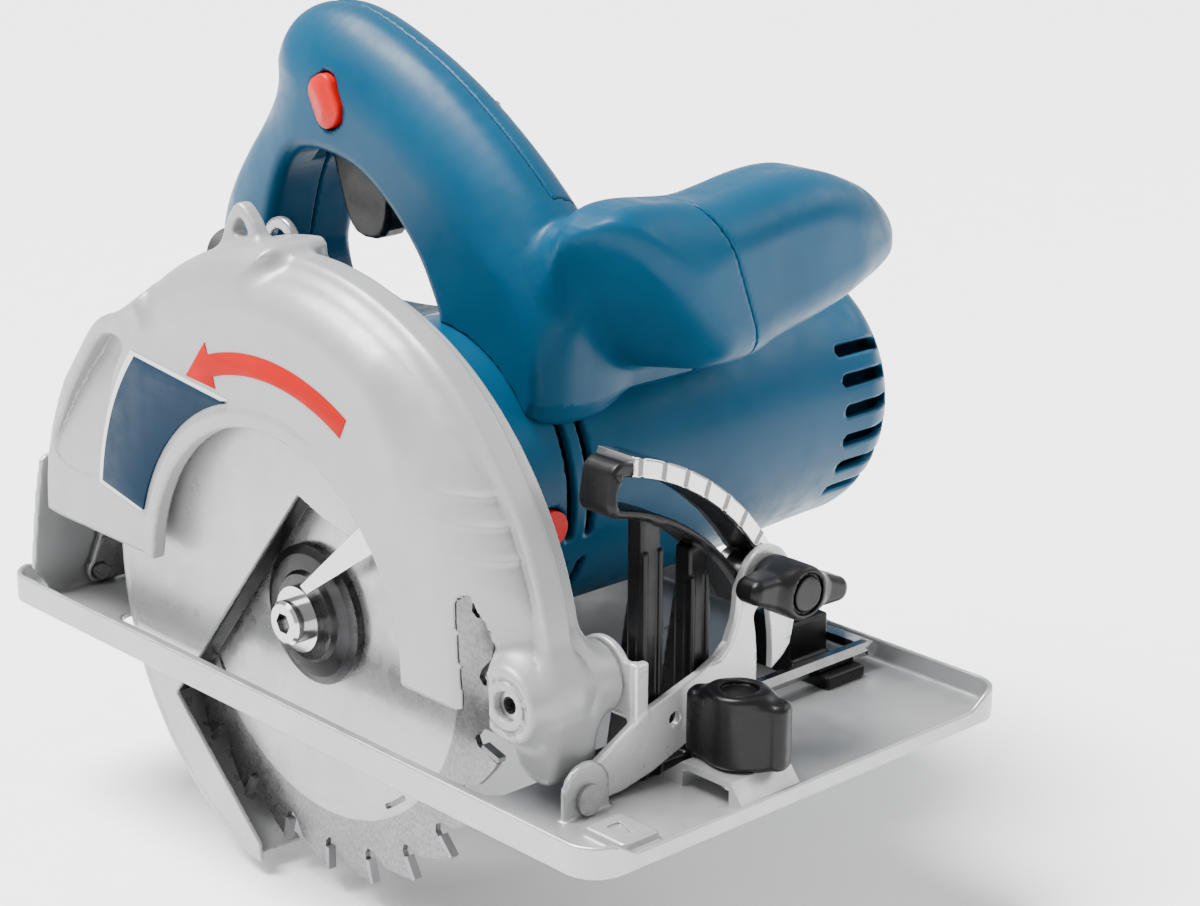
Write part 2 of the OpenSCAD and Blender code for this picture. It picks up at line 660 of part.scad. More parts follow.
module brush_holders() color([0.7, 0.56, 0.3]) for (s = [-1, 1]) difference() {
  translate([arm_x + s*23 - 8, brush_y - 4.5, arm_z - 5.5]) cube([16, 9, 11]);
  translate([arm_x + s*23 - 10, brush_y - 3.2, arm_z - 4.2]) cube([20, 6.4, 8.4]);
}
module carbon_brushes() color([0.15, 0.15, 0.15]) for (s = [-1, 1])
  translate([arm_x + s*19.6 - 6.3, brush_y - 3.1, arm_z - 4.1]) cube([12.6, 6.2, 8.2]);
module brush_springs() color([0.6, 0.6, 0.6]) for (s = [-1, 1])
  translate([arm_x + s*28.6 - 2.6, brush_y, arm_z]) rotate([0, 90, 0]) difference() {
    cylinder(h = 5.2, r = 2.9);
    translate([0, 0, -1]) cylinder(h = 8, r = 2.1);
  }
module air_baffle() color([0.12, 0.12, 0.13]) along_y(14.5, 17.5) difference() {
  disc2(arm_x, arm_z, 37);
  disc2(arm_x, arm_z, 27);
}

// ---- saw unit: handles ----
module grip_outline2() {
  difference() {
    union() {
      polygon([[42, 84], [46, 100], [46, 120], [40, 131], [26, 143], [8, 157], [-14.5, 171], [-38, 181],
        [-56, 186.5], [-70, 186.4], [-81, 180], [-88, 170], [-87, 161], [-94, 151], [-106, 137], [-116, 122],
        [-119.5, 108], [-117, 92], [-104, 84], [-60, 78], [-30, 70]]);
    }
    finger_loop2();
    disc2(arm_x, motor_z, motor_r + 0.1);
    rect2(-60, 0, 60, 80);
  }
}
module finger_loop2() polygon([[-36, 139.5], [-24, 131.5], [-13, 121], [-6.5, 110], [-3, 102], [-20, 98],
  [-48, 94], [-72, 94], [-82, 98], [-86, 106], [-84, 115], [-80, 128], [-76, 137], [-70, 143], [-60, 144.5],
  [-46, 143]]);
// Hollows for the switch, down the rear leg and down the front leg, round the screw bosses
module grip_cavity2() difference() {
  union() {
    polygon([[-30, 156], [-34, 148], [-52, 149], [-66, 151], [-80, 150], [-82, 164], [-78, 175], [-66, 181],
      [-40, 176], [-24, 168]]);
    polygon([[-82, 164], [-98, 141], [-109, 122], [-113, 104], [-104, 96], [-92, 100], [-90, 114],
      [-80, 150]]);
    polygon([[-14, 132], [-6, 124], [4, 112], [20, 106], [40, 100], [41, 120], [24, 138], [8, 150],
      [-12, 162], [-26, 166], [-30, 156]]);
  }
  for (p = screw_spots) disc2(p[0], p[1], 5);
  disc2(trigger_x, trigger_z, 4.5);
}
module trigger_slot2() rect2(-76, 130, -29.5, 157);
module half_shell(y0, y1, c0, c1) difference() {
  along_y(y0, y1) grip_outline2();
  along_y(c0, c1) grip_cavity2();
  along_y(grip_y - 5.3, grip_y + 5.3) trigger_slot2();
  rod_y(trigger_x, trigger_z, grip_y - 9, grip_y + 9, 2 + fit);
  rod_x(grip_y, 98, -125, -108, 6);
  for (p = screw_spots) rod_y(p[0], p[1], grip_y - 30, grip_y + 30, 2);
}
screw_spots = [[-12, 160], [-100, 90], [34, 112]];
module handle_half_right() color([0.06, 0.36, 0.52]) difference() {
  half_shell(grip_y - grip_half, grip_y - grip_gap, grip_y - 13, grip_y + 1);
  translate([lock_x, grip_y - grip_half - 1, lock_z]) rotate([0, lock_lean, 0]) along_y(0, 12)
    round_rect2(-6.1, -8.3, 6.1, 8.3, 5);
}
module handle_half_left() color([0.06, 0.36, 0.52])
  half_shell(grip_y + grip_gap, grip_y + grip_half, grip_y - 1, grip_y + 13);
module front_handle() color([0.06, 0.36, 0.52]) difference() {
  union() {
    // near bulb, in front of the main handle
    hull() {
      translate([52, -3, 126]) sphere(15, $fn = 32);
      translate([53, 10, 114]) sphere(17, $fn = 32);
      translate([51, 38, 120]) rotate([-90, 0, 0]) cylinder(h = 1, r = 20, $fn = 32);
    }
    // bar for the second hand
    hull() {
      translate([51, 38, 120]) rotate([-90, 0, 0]) cylinder(h = 1, r = 22, $fn = 32);
      translate([49, 88, 121]) sphere(20, $fn = 32);
      translate([46, 108, 116]) sphere(14.5, $fn = 32);
    }
    along_y(grip_y - 12, 96) polygon([[20, 96], [22, 122], [40, 128], [58, 112], [46, 84], [36, 76]]);
  }
  rod_y(arm_x, motor_z, -20, 130, motor_r + 0.1);
  // the main handle's place, with a hair of clearance
  for (z = [-hair, hair]) translate([hair, 0, z])
    along_y(grip_y - grip_half - hair, grip_y + grip_half + hair) grip_outline2();
  translate([0, -50, 60]) cube([30, 50 + grip_y + grip_half + 0.1, 120]);
}
module power_switch() color([0.12, 0.12, 0.13])
  translate([-80, grip_y - 7, 158.5]) cube([34, 14, 12]);
module cable_gland() color([0.1, 0.1, 0.1]) difference() {
  union() {
    rod_x(grip_y, 98, -124, -110, 6);
    rod_x(grip_y, 98, -130, -120.2, 8);
  }
  rod_x(grip_y, 98, -131, -109, 3.4);
}
module housing_screws() color([0.6, 0.6, 0.62]) for (p = screw_spots) {
  rod_y(p[0], p[1], grip_y - 12, grip_y + grip_half - 4, 2);
}
module trigger() color([0.1, 0.1, 0.11]) {
  difference() {
    along_y(grip_y - 4.8, grip_y + 4.8) polygon([[-33, 155], [-33, 146], [-39, 134], [-41, 122], [-45, 117.5],
      [-55, 117], [-60, 121], [-65, 134], [-69, 146], [-70, 152], [-66, 154], [-44, 154]]);
    // hollow for the finger
    rod_y(-24.5, 126, 0, 10, 16);
  }
  rod_y(trigger_x, trigger_z, grip_y - 8.8, grip_y + 8.8, 2);
}
module lock_off_button() color([0.85, 0.12, 0.1])
  translate([lock_x, grip_y - grip_half - 2.2, lock_z]) rotate([0, lock_lean, 0]) along_y(0, 9)
    round_rect2(-5.8, -8, 5.8, 8, 4.8);
module spindle_lock_button() color([0.85, 0.12, 0.1]) {
  rod_x(lock_y, arm_z, arm_x + 35.5, arm_x + motor_r + 1.5, 5);
  rod_x(lock_y, arm_z, arm_x + 9.3, arm_x + 36, 2.5);
}

// ---- spindle ----
module spindle_shaft() color([0.65, 0.65, 0.67]) {
  rod_y(spin_x, spin_z, -41, -18.3, 5);
  rod_y(spin_x, spin_z, bearing_y - 0.3, -36.2, 6);
  rod_y(spin_x, spin_z, -57.2, bearing_y - 0.3, bore_r);
}
module spindle_gear() color([0.5, 0.5, 0.52]) translate([spin_x, 0, spin_z]) difference() {
  along_y(gear_y0, gear_y1) spur2(gear_teeth, gear_tip_r, gear_root_r, 90);
  rod_y(0, 0, gear_y0 - 1, gear_y1 + 1, 5);
}
module inner_flange() color([0.3, 0.3, 0.31]) tube_y(spin_x, spin_z, blade_y + blade_t/2, -52, flange_r, bore_r);
tip_w = 2.6;
module tooth_outline2() {
  step = 360/blade_teeth;
  root = blade_r - 10.5;
  polygon([for (k = [0:blade_teeth - 1]) for (s = [[root + 1.6, 0.0], [blade_r - 0.6, 0.5], [blade_r - 1.8, 3.0],
    [root + 5.5, 8.6], [root + 1.2, 11.5], [root, 13.6]]) on_arc(0, 0, s[0], -(k*step + s[1]))]);
}
module saw_blade() color([0.72, 0.73, 0.74]) translate([spin_x, 0, spin_z]) along_y(blade_y - blade_t/2,
  blade_y + blade_t/2) difference() {
    tooth_outline2();
    circle(bore_r);
    for (a = [30:90:300]) rotate(a) arc_slot2(0, 0, 58, 0.8, 0, 9);
  }
module carbide_tips() color([0.4, 0.4, 0.42]) translate([spin_x, 0, spin_z])
  for (k = [0:blade_teeth - 1]) rotate([0, k*360/blade_teeth, 0])
    translate([blade_r - 7, blade_y - tip_w/2, 0.06]) cube([7, tip_w, 1.6]);
module outer_flange() color([0.18, 0.18, 0.19]) turn_y(spin_x, spin_z)
  polygon([[4, -57.2], [4, -62.5], [12.5, -62.5], [13.5, -61], [18, -60.4], [flange_r, -59.4],
    [flange_r, blade_y - blade_t/2], [bore_r, blade_y - blade_t/2], [bore_r, -57.2]]);
module blade_bolt() color([0.8, 0.8, 0.82]) difference() {
  turn_y(spin_x, spin_z) polygon([[0, -57.2], [0, -69.8], [5.6, -69.8], [6.5, -69], [6.5, -65], [9.6, -65],
    [9.6, -62.5], [4, -62.5], [4, -57.2]]);
  translate([spin_x, -71, spin_z]) rotate([-90, 0, 0]) cylinder(h = 6, r = 3.2, $fn = 6);
}

// ---- armature ----
module armature_shaft() color([0.65, 0.65, 0.67]) difference() {
  union() {
    rod_y(arm_x, arm_z, -26, rear_bearing_y - 0.3, 4);
    rod_y(arm_x, arm_z, rear_bearing_y - 1, rear_bearing_y + 7, 3.5);
    translate([arm_x, 0, arm_z]) along_y(-37, -26) spur2(pinion_teeth, pinion_tip_r,
      pinion_root_r, -90 + 180/pinion_teeth);
    rod_y(arm_x, arm_z, collar_y0, collar_y1, 8);
  }
  // cross-drilled collar, so that the spindle lock finds a hole every quarter turn
  rod_x(lock_y, arm_z, arm_x - 10, arm_x + 10, 2.5 + gap);
  rod_z(arm_x, lock_y, arm_z - 10, arm_z + 10, 2.5 + gap);
}
module rotor_core() color([0.5, 0.5, 0.52]) along_y(core_y0, core_y1) translate([arm_x, arm_z]) difference() {
  circle(21);
  circle(4);
  for (a = [0:30:330]) rotate(a) rect2(14, -1.6, 19.6, 1.6);
}
module rotor_windings() color([0.68, 0.36, 0.14]) for (y = [[core_y0 - 8, core_y0], [core_y1, core_y1 + 9]])
  turn_y(arm_x, arm_z) polygon([[6, y[0]], [15, y[0]], [19, y[0] + 3], [19, y[1] - 3], [15, y[1]], [6, y[1]]]);
module commutator() color([0.75, 0.45, 0.25]) along_y(com_y0, com_y1) translate([arm_x, arm_z]) difference() {
  circle(13);
  circle(4);
  for (a = [0:15:345]) rotate(a) rect2(11.8, -0.25, 14, 0.25);
}
module cooling_fan() color([0.14, 0.14, 0.15]) translate([arm_x, 0, arm_z]) {
  along_y(fan_y0, fan_y0 + 2) difference() {
    circle(34);
    circle(4);
  }
  along_y(fan_y0 + 2, fan_y1) difference() {
    circle(9);
    circle(4);
  }
  along_y(fan_y0 + 2, fan_y1) for (a = [0:30:330]) rotate(a) rect2(12, -0.8, 33, 0.8);
}

// ---- lower guard ----
module lower_wall2() intersection() {
  difference() {
    circle(lower_r);
    polygon([[3, 38], [-61, -41], [-21, -77], [-16, -130], [140, -130], [140, 146], [29, 31], [15, 34]]);
  }
  pie2(0, 0, lower_r, 40, 256);
}
module lower_guard() color([0.8, 0.81, 0.82]) translate([spin_x, 0, spin_z]) {
  along_y(lower_y0, lower_y0 + lower_t) lower_wall2();
  along_y(lower_y0, lower_y1) intersection() {
    difference() {
      circle(lower_r);
      circle(lower_r - lower_t);
    }
    pie2(0, 0, lower_r, 46.6, 254);
  }
  // gear-side wall with the ring that turns on the guard's hub
  along_y(lower_y1 - lower_t, lower_y1) difference() {
    union() {
      intersection() {
        circle(lower_r);
        pie2(0, 0, lower_r, 110, 250);
      }
      circle(31);
    }
    circle(hub_r + fit);
  }
}
module guard_tab() color([0.7, 0.7, 0.72]) translate([spin_x, 0, spin_z])
  along_y(lower_y0 - 1.2, lower_y0) polygon([[34, 38], [5, 12], [8, 10.5], [37, 30], [44, 34]]);

base_plate();
bevel_quadrant();
bevel_scale();
quadrant_screws();
bevel_pins();
hex_key_clip();
hex_key();
fence_bridge();
fence_knob();
front_bracket();
rear_bracket();
depth_pivot_pin();
bevel_bolt();
bevel_knob();
upper_guard();
guard_panel();
gear_housing();
bearing_bracket();
spindle_bearing();
spindle_bushing();
front_armature_bearing();
rear_armature_bearing();
motor_housing();
stator_core();
field_coils();
brush_holders();
carbon_brushes();
brush_springs();
air_baffle();
handle_half_right();
handle_half_left();
front_handle();
power_switch();
cable_gland();
housing_screws();
guard_spring();
guard_ring();
depth_clamp_bolt();
depth_lever();
trigger();
lock_off_button();
spindle_lock_button();
spindle_shaft();
spindle_gear();
inner_flange();
saw_blade();
carbide_tips();
outer_flange();
blade_bolt();
armature_shaft();
rotor_core();
rotor_windings();
commutator();
cooling_fan();
lower_guard();
guard_tab();
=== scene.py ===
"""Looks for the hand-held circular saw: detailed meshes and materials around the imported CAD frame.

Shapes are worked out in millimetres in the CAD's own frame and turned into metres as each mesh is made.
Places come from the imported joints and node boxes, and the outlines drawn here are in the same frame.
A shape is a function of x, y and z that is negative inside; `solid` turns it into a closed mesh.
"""

import json
import math

import bmesh
import bpy
import numpy as np
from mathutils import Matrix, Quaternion, Vector


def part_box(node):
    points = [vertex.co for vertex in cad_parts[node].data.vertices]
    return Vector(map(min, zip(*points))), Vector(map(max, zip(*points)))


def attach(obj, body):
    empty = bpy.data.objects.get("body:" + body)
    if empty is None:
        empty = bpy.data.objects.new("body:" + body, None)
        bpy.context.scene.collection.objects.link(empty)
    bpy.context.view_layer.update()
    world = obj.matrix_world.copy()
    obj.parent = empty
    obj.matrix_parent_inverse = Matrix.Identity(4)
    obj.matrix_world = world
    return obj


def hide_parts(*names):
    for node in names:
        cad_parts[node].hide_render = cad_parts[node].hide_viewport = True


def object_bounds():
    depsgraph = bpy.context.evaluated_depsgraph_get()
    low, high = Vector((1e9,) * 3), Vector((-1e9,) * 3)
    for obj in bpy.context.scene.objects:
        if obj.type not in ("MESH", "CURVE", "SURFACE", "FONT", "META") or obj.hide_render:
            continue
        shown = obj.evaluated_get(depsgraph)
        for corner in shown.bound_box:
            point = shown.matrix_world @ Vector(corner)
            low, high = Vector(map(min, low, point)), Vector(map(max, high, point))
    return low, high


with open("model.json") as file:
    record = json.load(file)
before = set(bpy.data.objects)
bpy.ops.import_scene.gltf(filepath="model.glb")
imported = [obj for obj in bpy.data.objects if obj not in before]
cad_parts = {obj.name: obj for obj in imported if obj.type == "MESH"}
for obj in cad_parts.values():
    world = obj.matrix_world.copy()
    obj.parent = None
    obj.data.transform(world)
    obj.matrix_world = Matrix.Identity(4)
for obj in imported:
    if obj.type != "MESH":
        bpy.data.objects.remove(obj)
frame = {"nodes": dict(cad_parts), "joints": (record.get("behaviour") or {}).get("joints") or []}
cad_low, cad_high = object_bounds()

MM = 0.001


# ---- anchors from the frame, in millimetres ----
def joint_place(name):
    """The point that a joint turns about."""
    return Vector(next(j for j in frame["joints"] if j["name"] == name)["pos_m"]) / MM


def node_box(name):
    """The low and high corners of a CAD node's box."""
    low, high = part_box(name)
    return low / MM, high / MM


def middle_of(name):
    """The middle of a CAD node's box."""
    low, high = node_box(name)
    return (low + high) / 2


SPIN = joint_place("spindle_spin")
TILT = joint_place("bevel")
PIVOT = joint_place("depth")
CLAMP = joint_place("depth_lever_turn")
KNOB = joint_place("bevel_knob_turn")
FENCE = joint_place("fence_knob_turn")
TRIGGER = joint_place("trigger_pull")
GUARD = node_box("upper_guard")
MOTOR = node_box("motor_housing")
BASE = node_box("base_plate")
LOWER = node_box("lower_guard")
PLATE_T = 2.0
# where the spindle, the tilt axis and the depth pivot cross the plane that they stand on
SPINDLE = (SPIN.x, SPIN.z)
TILT_AXIS = (TILT.y, TILT.z)
PIVOT_AXIS = (PIVOT.x, PIVOT.z)
# how far a mesh's grid goes past its node's box
MARGIN = Vector((1, 1, 1))


# ---- signed distances, in millimetres and negative inside ----
def smooth(value, start, end):
    """0 before start, 1 after end, easing in between."""
    t = np.clip((value - start) / (end - start), 0, 1)
    return t * t * (3 - 2 * t)


def round_and(a, b, r=0.0):
    """What is inside both a and b, with the edge between them rounded to radius r."""
    if np.isscalar(r) and r <= 0:
        return np.maximum(a, b)
    a, b = a + r, b + r
    return np.minimum(np.maximum(a, b), 0) + np.hypot(np.maximum(a, 0), np.maximum(b, 0)) - r


def join(a, b, r=0.0):
    """a and b together, with a fillet of radius r where they meet."""
    return -round_and(-a, -b, r)


def cut(a, b, r=0.0):
    """a with b taken away, and the new edge rounded to radius r."""
    return round_and(a, -b, r)


def outline(points, u, v):
    """Distance to a closed outline of straight sides."""
    nearest, inside = None, False
    for (au, av), (bu, bv) in zip(points, points[1:] + points[:1]):
        eu, ev = bu - au, bv - av
        wu, wv = u - au, v - av
        t = np.clip((wu * eu + wv * ev) / (eu * eu + ev * ev), 0, 1)
        d = (wu - eu * t) ** 2 + (wv - ev * t) ** 2
        nearest = d if nearest is None else np.minimum(nearest, d)
        if abs(ev) > 1e-9:
            inside = inside ^ (((av > v) != (bv > v)) & (u < eu * (v - av) / ev + au))
    return np.where(inside, -1, 1) * np.sqrt(nearest)


def slab(flat, across, low, high, r=0.0):
    """A flat shape given a thickness from low to high, its edges rounded to r."""
    return round_and(flat, np.abs(across - (low + high) / 2) - (high - low) / 2, r)


def disc(u, v, centre, r):
    """A circle, or a rod when nothing else bounds it."""
    return np.hypot(u - centre[0], v - centre[1]) - r


def block(u, v, low, high, r=0.0):
    """A rectangle with rounded corners."""
    du = np.abs(u - (low[0] + high[0]) / 2) - (high[0] - low[0]) / 2 + r
    dv = np.abs(v - (low[1] + high[1]) / 2) - (high[1] - low[1]) / 2 + r
    return np.hypot(np.maximum(du, 0), np.maximum(dv, 0)) + np.minimum(np.maximum(du, dv), 0) - r


def turned(u, v, degrees):
    """u and v in a frame turned by an angle."""
    c, s = math.cos(math.radians(degrees)), math.sin(math.radians(degrees))
    return c * u + s * v, c * v - s * u


def polar(u, v, centre):
    """Distance from a centre, and the angle round it in degrees."""
    return np.hypot(u - centre[0], v - centre[1]), np.degrees(np.arctan2(v - centre[1], u - centre[0]))


def past(value, start, end):
    """How far value is outside the stretch from start to end, and 0 within it."""
    return np.maximum(np.abs(value - (start + end) / 2) - (end - start) / 2, 0)


def arc_slot(r, angle, radius, ends, half):
    """A round-ended slot along an arc between two angles."""
    return np.hypot(past(angle, *ends) * math.radians(radius), r - radius) - half


# ---- outlines: lists of points ----
def rounded(points, times=2):
    """A closed outline with its corners cut over and over, so that it reads as a curve."""
    for _ in range(times):
        points = [
            ((1 - t) * a[0] + t * b[0], (1 - t) * a[1] + t * b[1])
            for a, b in zip(points, points[1:] + points[:1])
            for t in (0.25, 0.75)
        ]
    return points


def arc(centre, radius, start, end, count=24):
    """Points along an arc, angles in degrees."""
    return [(centre[0] + radius * math.cos(math.radians(start + (end - start) * i / count)),
             centre[1] + radius * math.sin(math.radians(start + (end - start) * i / count)))
            for i in range(count + 1)]


def bowed(a, b, bulge, count=16):
    """Points from a to b along a shallow bow that stands out to the left of the way from a to b."""
    du, dv = b[0] - a[0], b[1] - a[1]
    length = math.hypot(du, dv)
    points = []
    for i in range(count + 1):
        t = i / count
        out = 4 * bulge * t * (1 - t)
        points.append((a[0] + du * t - dv / length * out, a[1] + dv * t + du / length * out))
    return points


# ---- meshes ----
def new_object(name, mesh, look, body):
    """An object of one material that rides a body."""
    obj = bpy.data.objects.new(name, mesh)
    bpy.context.scene.collection.objects.link(obj)
    mesh.materials.append(look)
    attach(obj, body)
    return obj


def part(obj, nodes):
    """Hides these CAD nodes, which obj stands for."""
    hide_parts(*nodes)


# the corners of a grid cell are numbered so that bit 0 steps along x, bit 1 along y and bit 2 along z
CORNERS = [(c & 1, c >> 1 & 1, c >> 2 & 1) for c in range(8)]
EDGE_PAIRS = [(a, b) for a in range(8) for b in range(a + 1, 8) if bin(a ^ b).count("1") == 1]
# how many times a mesh's points are moved onto the true surface
SETTLE_STEPS = 3
# a sheet's edges that turn by more than this stay sharp, in degrees
SHARP = 40


def net(shape, low, high, step):
    """Vertices (mm) and quads of the surface where shape is zero, by surface nets on a grid."""
    steps = (step,) * 3 if np.isscalar(step) else step
    axes = [np.arange(low[i] - steps[i], high[i] + 2 * steps[i], steps[i]) for i in range(3)]
    x, y, z = axes[0][:, None, None], axes[1][None, :, None], axes[2][None, None, :]
    f = np.broadcast_to(shape(x, y, z), [len(a) for a in axes]).astype(np.float32)
    inside = f < 0
    size = [n - 1 for n in f.shape]
    count = sum(inside[i:i + size[0], j:j + size[1], k:k + size[2]].astype(np.int8) for i, j, k in CORNERS)
    cells = np.argwhere((count > 0) & (count < 8))
    ids = np.full(size, -1, np.int64)
    ids[tuple(cells.T)] = np.arange(len(cells))
    value = np.stack([f[tuple((cells + corner).T)] for corner in CORNERS])
    total, hits = np.zeros((len(cells), 3)), np.zeros(len(cells))
    for a, b in EDGE_PAIRS:
        crossing = (value[a] < 0) != (value[b] < 0)
        t = np.where(crossing, value[a] / np.where(crossing, value[a] - value[b], 1), 0)
        pa, pb = np.array(CORNERS[a], float), np.array(CORNERS[b], float)
        total += np.where(crossing[:, None], pa + (pb - pa) * t[:, None], 0)
        hits += crossing
    points = (cells + total / hits[:, None]) * np.array(steps) + np.array([a[0] for a in axes])
    quads = []
    for axis in range(3):
        u, v = (axis + 1) % 3, (axis + 2) % 3
        here = [slice(None)] * 3
        there = [slice(None)] * 3
        here[axis], there[axis] = slice(0, -1), slice(1, None)
        a, b = inside[tuple(here)], inside[tuple(there)]
        for rising in (False, True):
            edges = np.argwhere((~a & b) if rising else (a & ~b))
            edges = edges[(edges[:, u] > 0) & (edges[:, v] > 0)]
            around = []
            for du, dv in ((1, 1), (0, 1), (0, 0), (1, 0)):
                cell = edges.copy()
                cell[:, u] -= du
                cell[:, v] -= dv
                around.append(ids[tuple(cell.T)])
            quad = np.stack(around, 1)
            quads.append(quad[:, ::-1] if rising else quad)
    return points, np.concatenate(quads)


def slope(shape, points):
    """At each point: the shape's value, its unit outward direction, and how fast it grows that way."""
    reach = 0.05

    def at(p):
        return np.asarray(shape(*p.T), float)

    middle = at(points)
    out = np.empty_like(points)
    for i in range(3):
        shift = np.zeros(3)
        shift[i] = reach
        out[:, i] = at(points + shift) - at(points - shift)
    steep = np.linalg.norm(out, axis=1) / (2 * reach)
    return middle, out / np.maximum(steep[:, None] * 2 * reach, 1e-9), steep


def solid(name, shape, low, high, step, look, body):
    """A closed mesh of a shape, its points moved onto the true surface and shaded with the true normals.

    low and high are corners of a box that holds all of it, and step is the grid's size, all in mm.
    """
    points, quads = net(shape, low, high, step)
    reach = 0.6 * (step if np.isscalar(step) else max(step))
    for _ in range(SETTLE_STEPS):
        distance, out, steep = slope(shape, points)
        points -= out * np.clip(distance / np.maximum(steep, 0.3), -reach, reach)[:, None]
    _, normals, _ = slope(shape, points)
    mesh = bpy.data.meshes.new(name)
    mesh.vertices.add(len(points))
    mesh.vertices.foreach_set("co", (points * MM).astype(np.float32).ravel())
    mesh.loops.add(len(quads) * 4)
    mesh.loops.foreach_set("vertex_index", quads.astype(np.int32).ravel())
    mesh.polygons.add(len(quads))
    mesh.polygons.foreach_set("loop_start", np.arange(0, len(quads) * 4, 4, dtype=np.int32))
    mesh.update(calc_edges=True)
    mesh.validate()
    mesh.shade_smooth()
    mesh.normals_split_custom_set_from_vertices(normals.astype(np.float32))
    return new_object(name, mesh, look, body)


def sheet(name, loop, low, high, look, body, edge):
    """A flat plate from an outline in x and z, from low to high in y, with its edges eased."""
    curve = bpy.data.curves.new(name, "CURVE")
    curve.dimensions = "2D"
    curve.fill_mode = "BOTH"
    spline = curve.splines.new("POLY")
    spline.points.add(len(loop) - 1)
    for point, (u, v) in zip(spline.points, loop):
        point.co = (u, v, 0, 1)
    spline.use_cyclic_u = True
    curve.bevel_depth = edge
    curve.bevel_resolution = 1
    curve.offset = -edge
    curve.extrude = (high - low) / 2 - edge
    holder = bpy.data.objects.new(name, curve)
    bpy.context.scene.collection.objects.link(holder)
    bpy.context.view_layer.update()
    made = holder.evaluated_get(bpy.context.evaluated_depsgraph_get())
    mesh = bpy.data.meshes.new_from_object(made)
    bpy.data.objects.remove(holder)
    work = bmesh.new()
    work.from_mesh(mesh)
    # the curve lies in x and y, and its thickness is in z
    for vert in work.verts:
        x, z, along = vert.co
        vert.co = Vector((x, (low + high) / 2 + along, z)) * MM
    bmesh.ops.remove_doubles(work, verts=work.verts, dist=0.01 * MM)
    bmesh.ops.recalc_face_normals(work, faces=work.faces)
    for face in work.faces:
        face.smooth = True
    for line in work.edges:
        line.smooth = not line.is_manifold or line.calc_face_angle(0) < math.radians(SHARP)
    work.to_mesh(mesh)
    work.free()
    mesh.materials.clear()
    return new_object(name, mesh, look, body)


# ---- materials ----
def material(name, colour, rough, metal=0.0, **looks):
    """A surface whose colour and gloss vary, with a fine bump and wear where edges stick out.

    mottle: how far the colour wanders; grain: bump height, m; grain_scale: bumps per metre;
    worn: colour that edges wear to, and wear: how much of it; dirt: how much painted shade darkens the
    hollows;
    brushed: stretch of the grain along each axis; paint: a function that paints over the base colour.
    """
    made = bpy.data.materials.new(name)
    made.use_nodes = True
    tree = made.node_tree
    shader = tree.nodes["Principled BSDF"]
    shader.inputs["Metallic"].default_value = metal
    shader.inputs["Coat Weight"].default_value = looks.get("coat", 0.0)
    shader.inputs["Coat Roughness"].default_value = looks.get("coat_rough", 0.15)
    shader.inputs["Specular IOR Level"].default_value = looks.get("specular", 0.5)
    link = tree.links.new

    def node(kind, **settings):
        n = tree.nodes.new(kind)
        for key, value in settings.items():
            setattr(n, key, value)
        return n

    def noise(scale, detail=4.0, stretch=(1, 1, 1)):
        where = node("ShaderNodeTexCoord")
        mapping = node("ShaderNodeMapping")
        mapping.inputs["Scale"].default_value = stretch
        link(where.outputs["Object"], mapping.inputs["Vector"])
        n = node("ShaderNodeTexNoise")
        n.inputs["Scale"].default_value = scale
        n.inputs["Detail"].default_value = detail
        link(mapping.outputs["Vector"], n.inputs["Vector"])
        return n.outputs["Fac"]

    def ramp(source, low, high, start=0.3, end=0.7):
        r = node("ShaderNodeMapRange")
        r.inputs["From Min"].default_value, r.inputs["From Max"].default_value = start, end
        r.inputs["To Min"].default_value, r.inputs["To Max"].default_value = low, high
        link(source, r.inputs["Value"])
        return r.outputs["Result"]

    def mix(factor, a, b):
        m = node("ShaderNodeMix", data_type="RGBA")
        for key, value in (("Factor", factor), ("A", a), ("B", b)):
            kind = "VALUE" if key == "Factor" else "RGBA"
            socket = next(s for s in m.inputs if s.name == key and s.type == kind)
            if isinstance(value, bpy.types.NodeSocket):
                link(value, socket)
            else:
                socket.default_value = value if key == "Factor" else (*value, 1)
        return next(s for s in m.outputs if s.type == "RGBA")

    stretch = looks.get("brushed", (1, 1, 1))
    mottle = looks.get("mottle", 0.06)
    dark = tuple(c * (1 - mottle) for c in colour)
    light = tuple(min(1, c * (1 + mottle) + 0.01 * mottle) for c in colour)
    base = mix(ramp(noise(looks.get("mottle_scale", 45), 5, stretch), 0, 1), dark, light)
    # Pointiness is 0.5 on a flat face, more on an outer edge and less in a hollow
    if looks.get("wear"):
        edge = node("ShaderNodeNewGeometry").outputs["Pointiness"]
        grit = ramp(noise(900, 3), 0.2, 1.0, 0.35, 0.6)
        amount = node("ShaderNodeMath", operation="MULTIPLY")
        link(ramp(edge, 0, looks["wear"], 0.52, 0.62), amount.inputs[0])
        link(grit, amount.inputs[1])
        base = mix(amount.outputs[0], base, looks.get("worn", light))
    # painted shade: hollows and creases darken towards 0.35 of the colour, standing in for the light that
    # does not reach them
    if looks.get("dirt"):
        hollow = node("ShaderNodeNewGeometry").outputs["Pointiness"]
        base = mix(ramp(hollow, looks["dirt"], 0, 0.40, 0.49), base, tuple(c * 0.35 for c in colour))
    if looks.get("paint"):
        base = looks["paint"](node, link, ramp, mix, noise, base)
    link(base, shader.inputs["Base Color"])
    spread = looks.get("rough_spread", 0.08)
    link(ramp(noise(160, 4, stretch), rough - spread, rough + spread), shader.inputs["Roughness"])
    bump = node("ShaderNodeBump")
    bump.inputs["Strength"].default_value = looks.get("bump", 0.25)
    bump.inputs["Distance"].default_value = looks.get("grain", 0.00006)
    link(noise(looks.get("grain_scale", 2600), 3, stretch), bump.inputs["Height"])
    link(bump.outputs["Normal"], shader.inputs["Normal"])
    return made


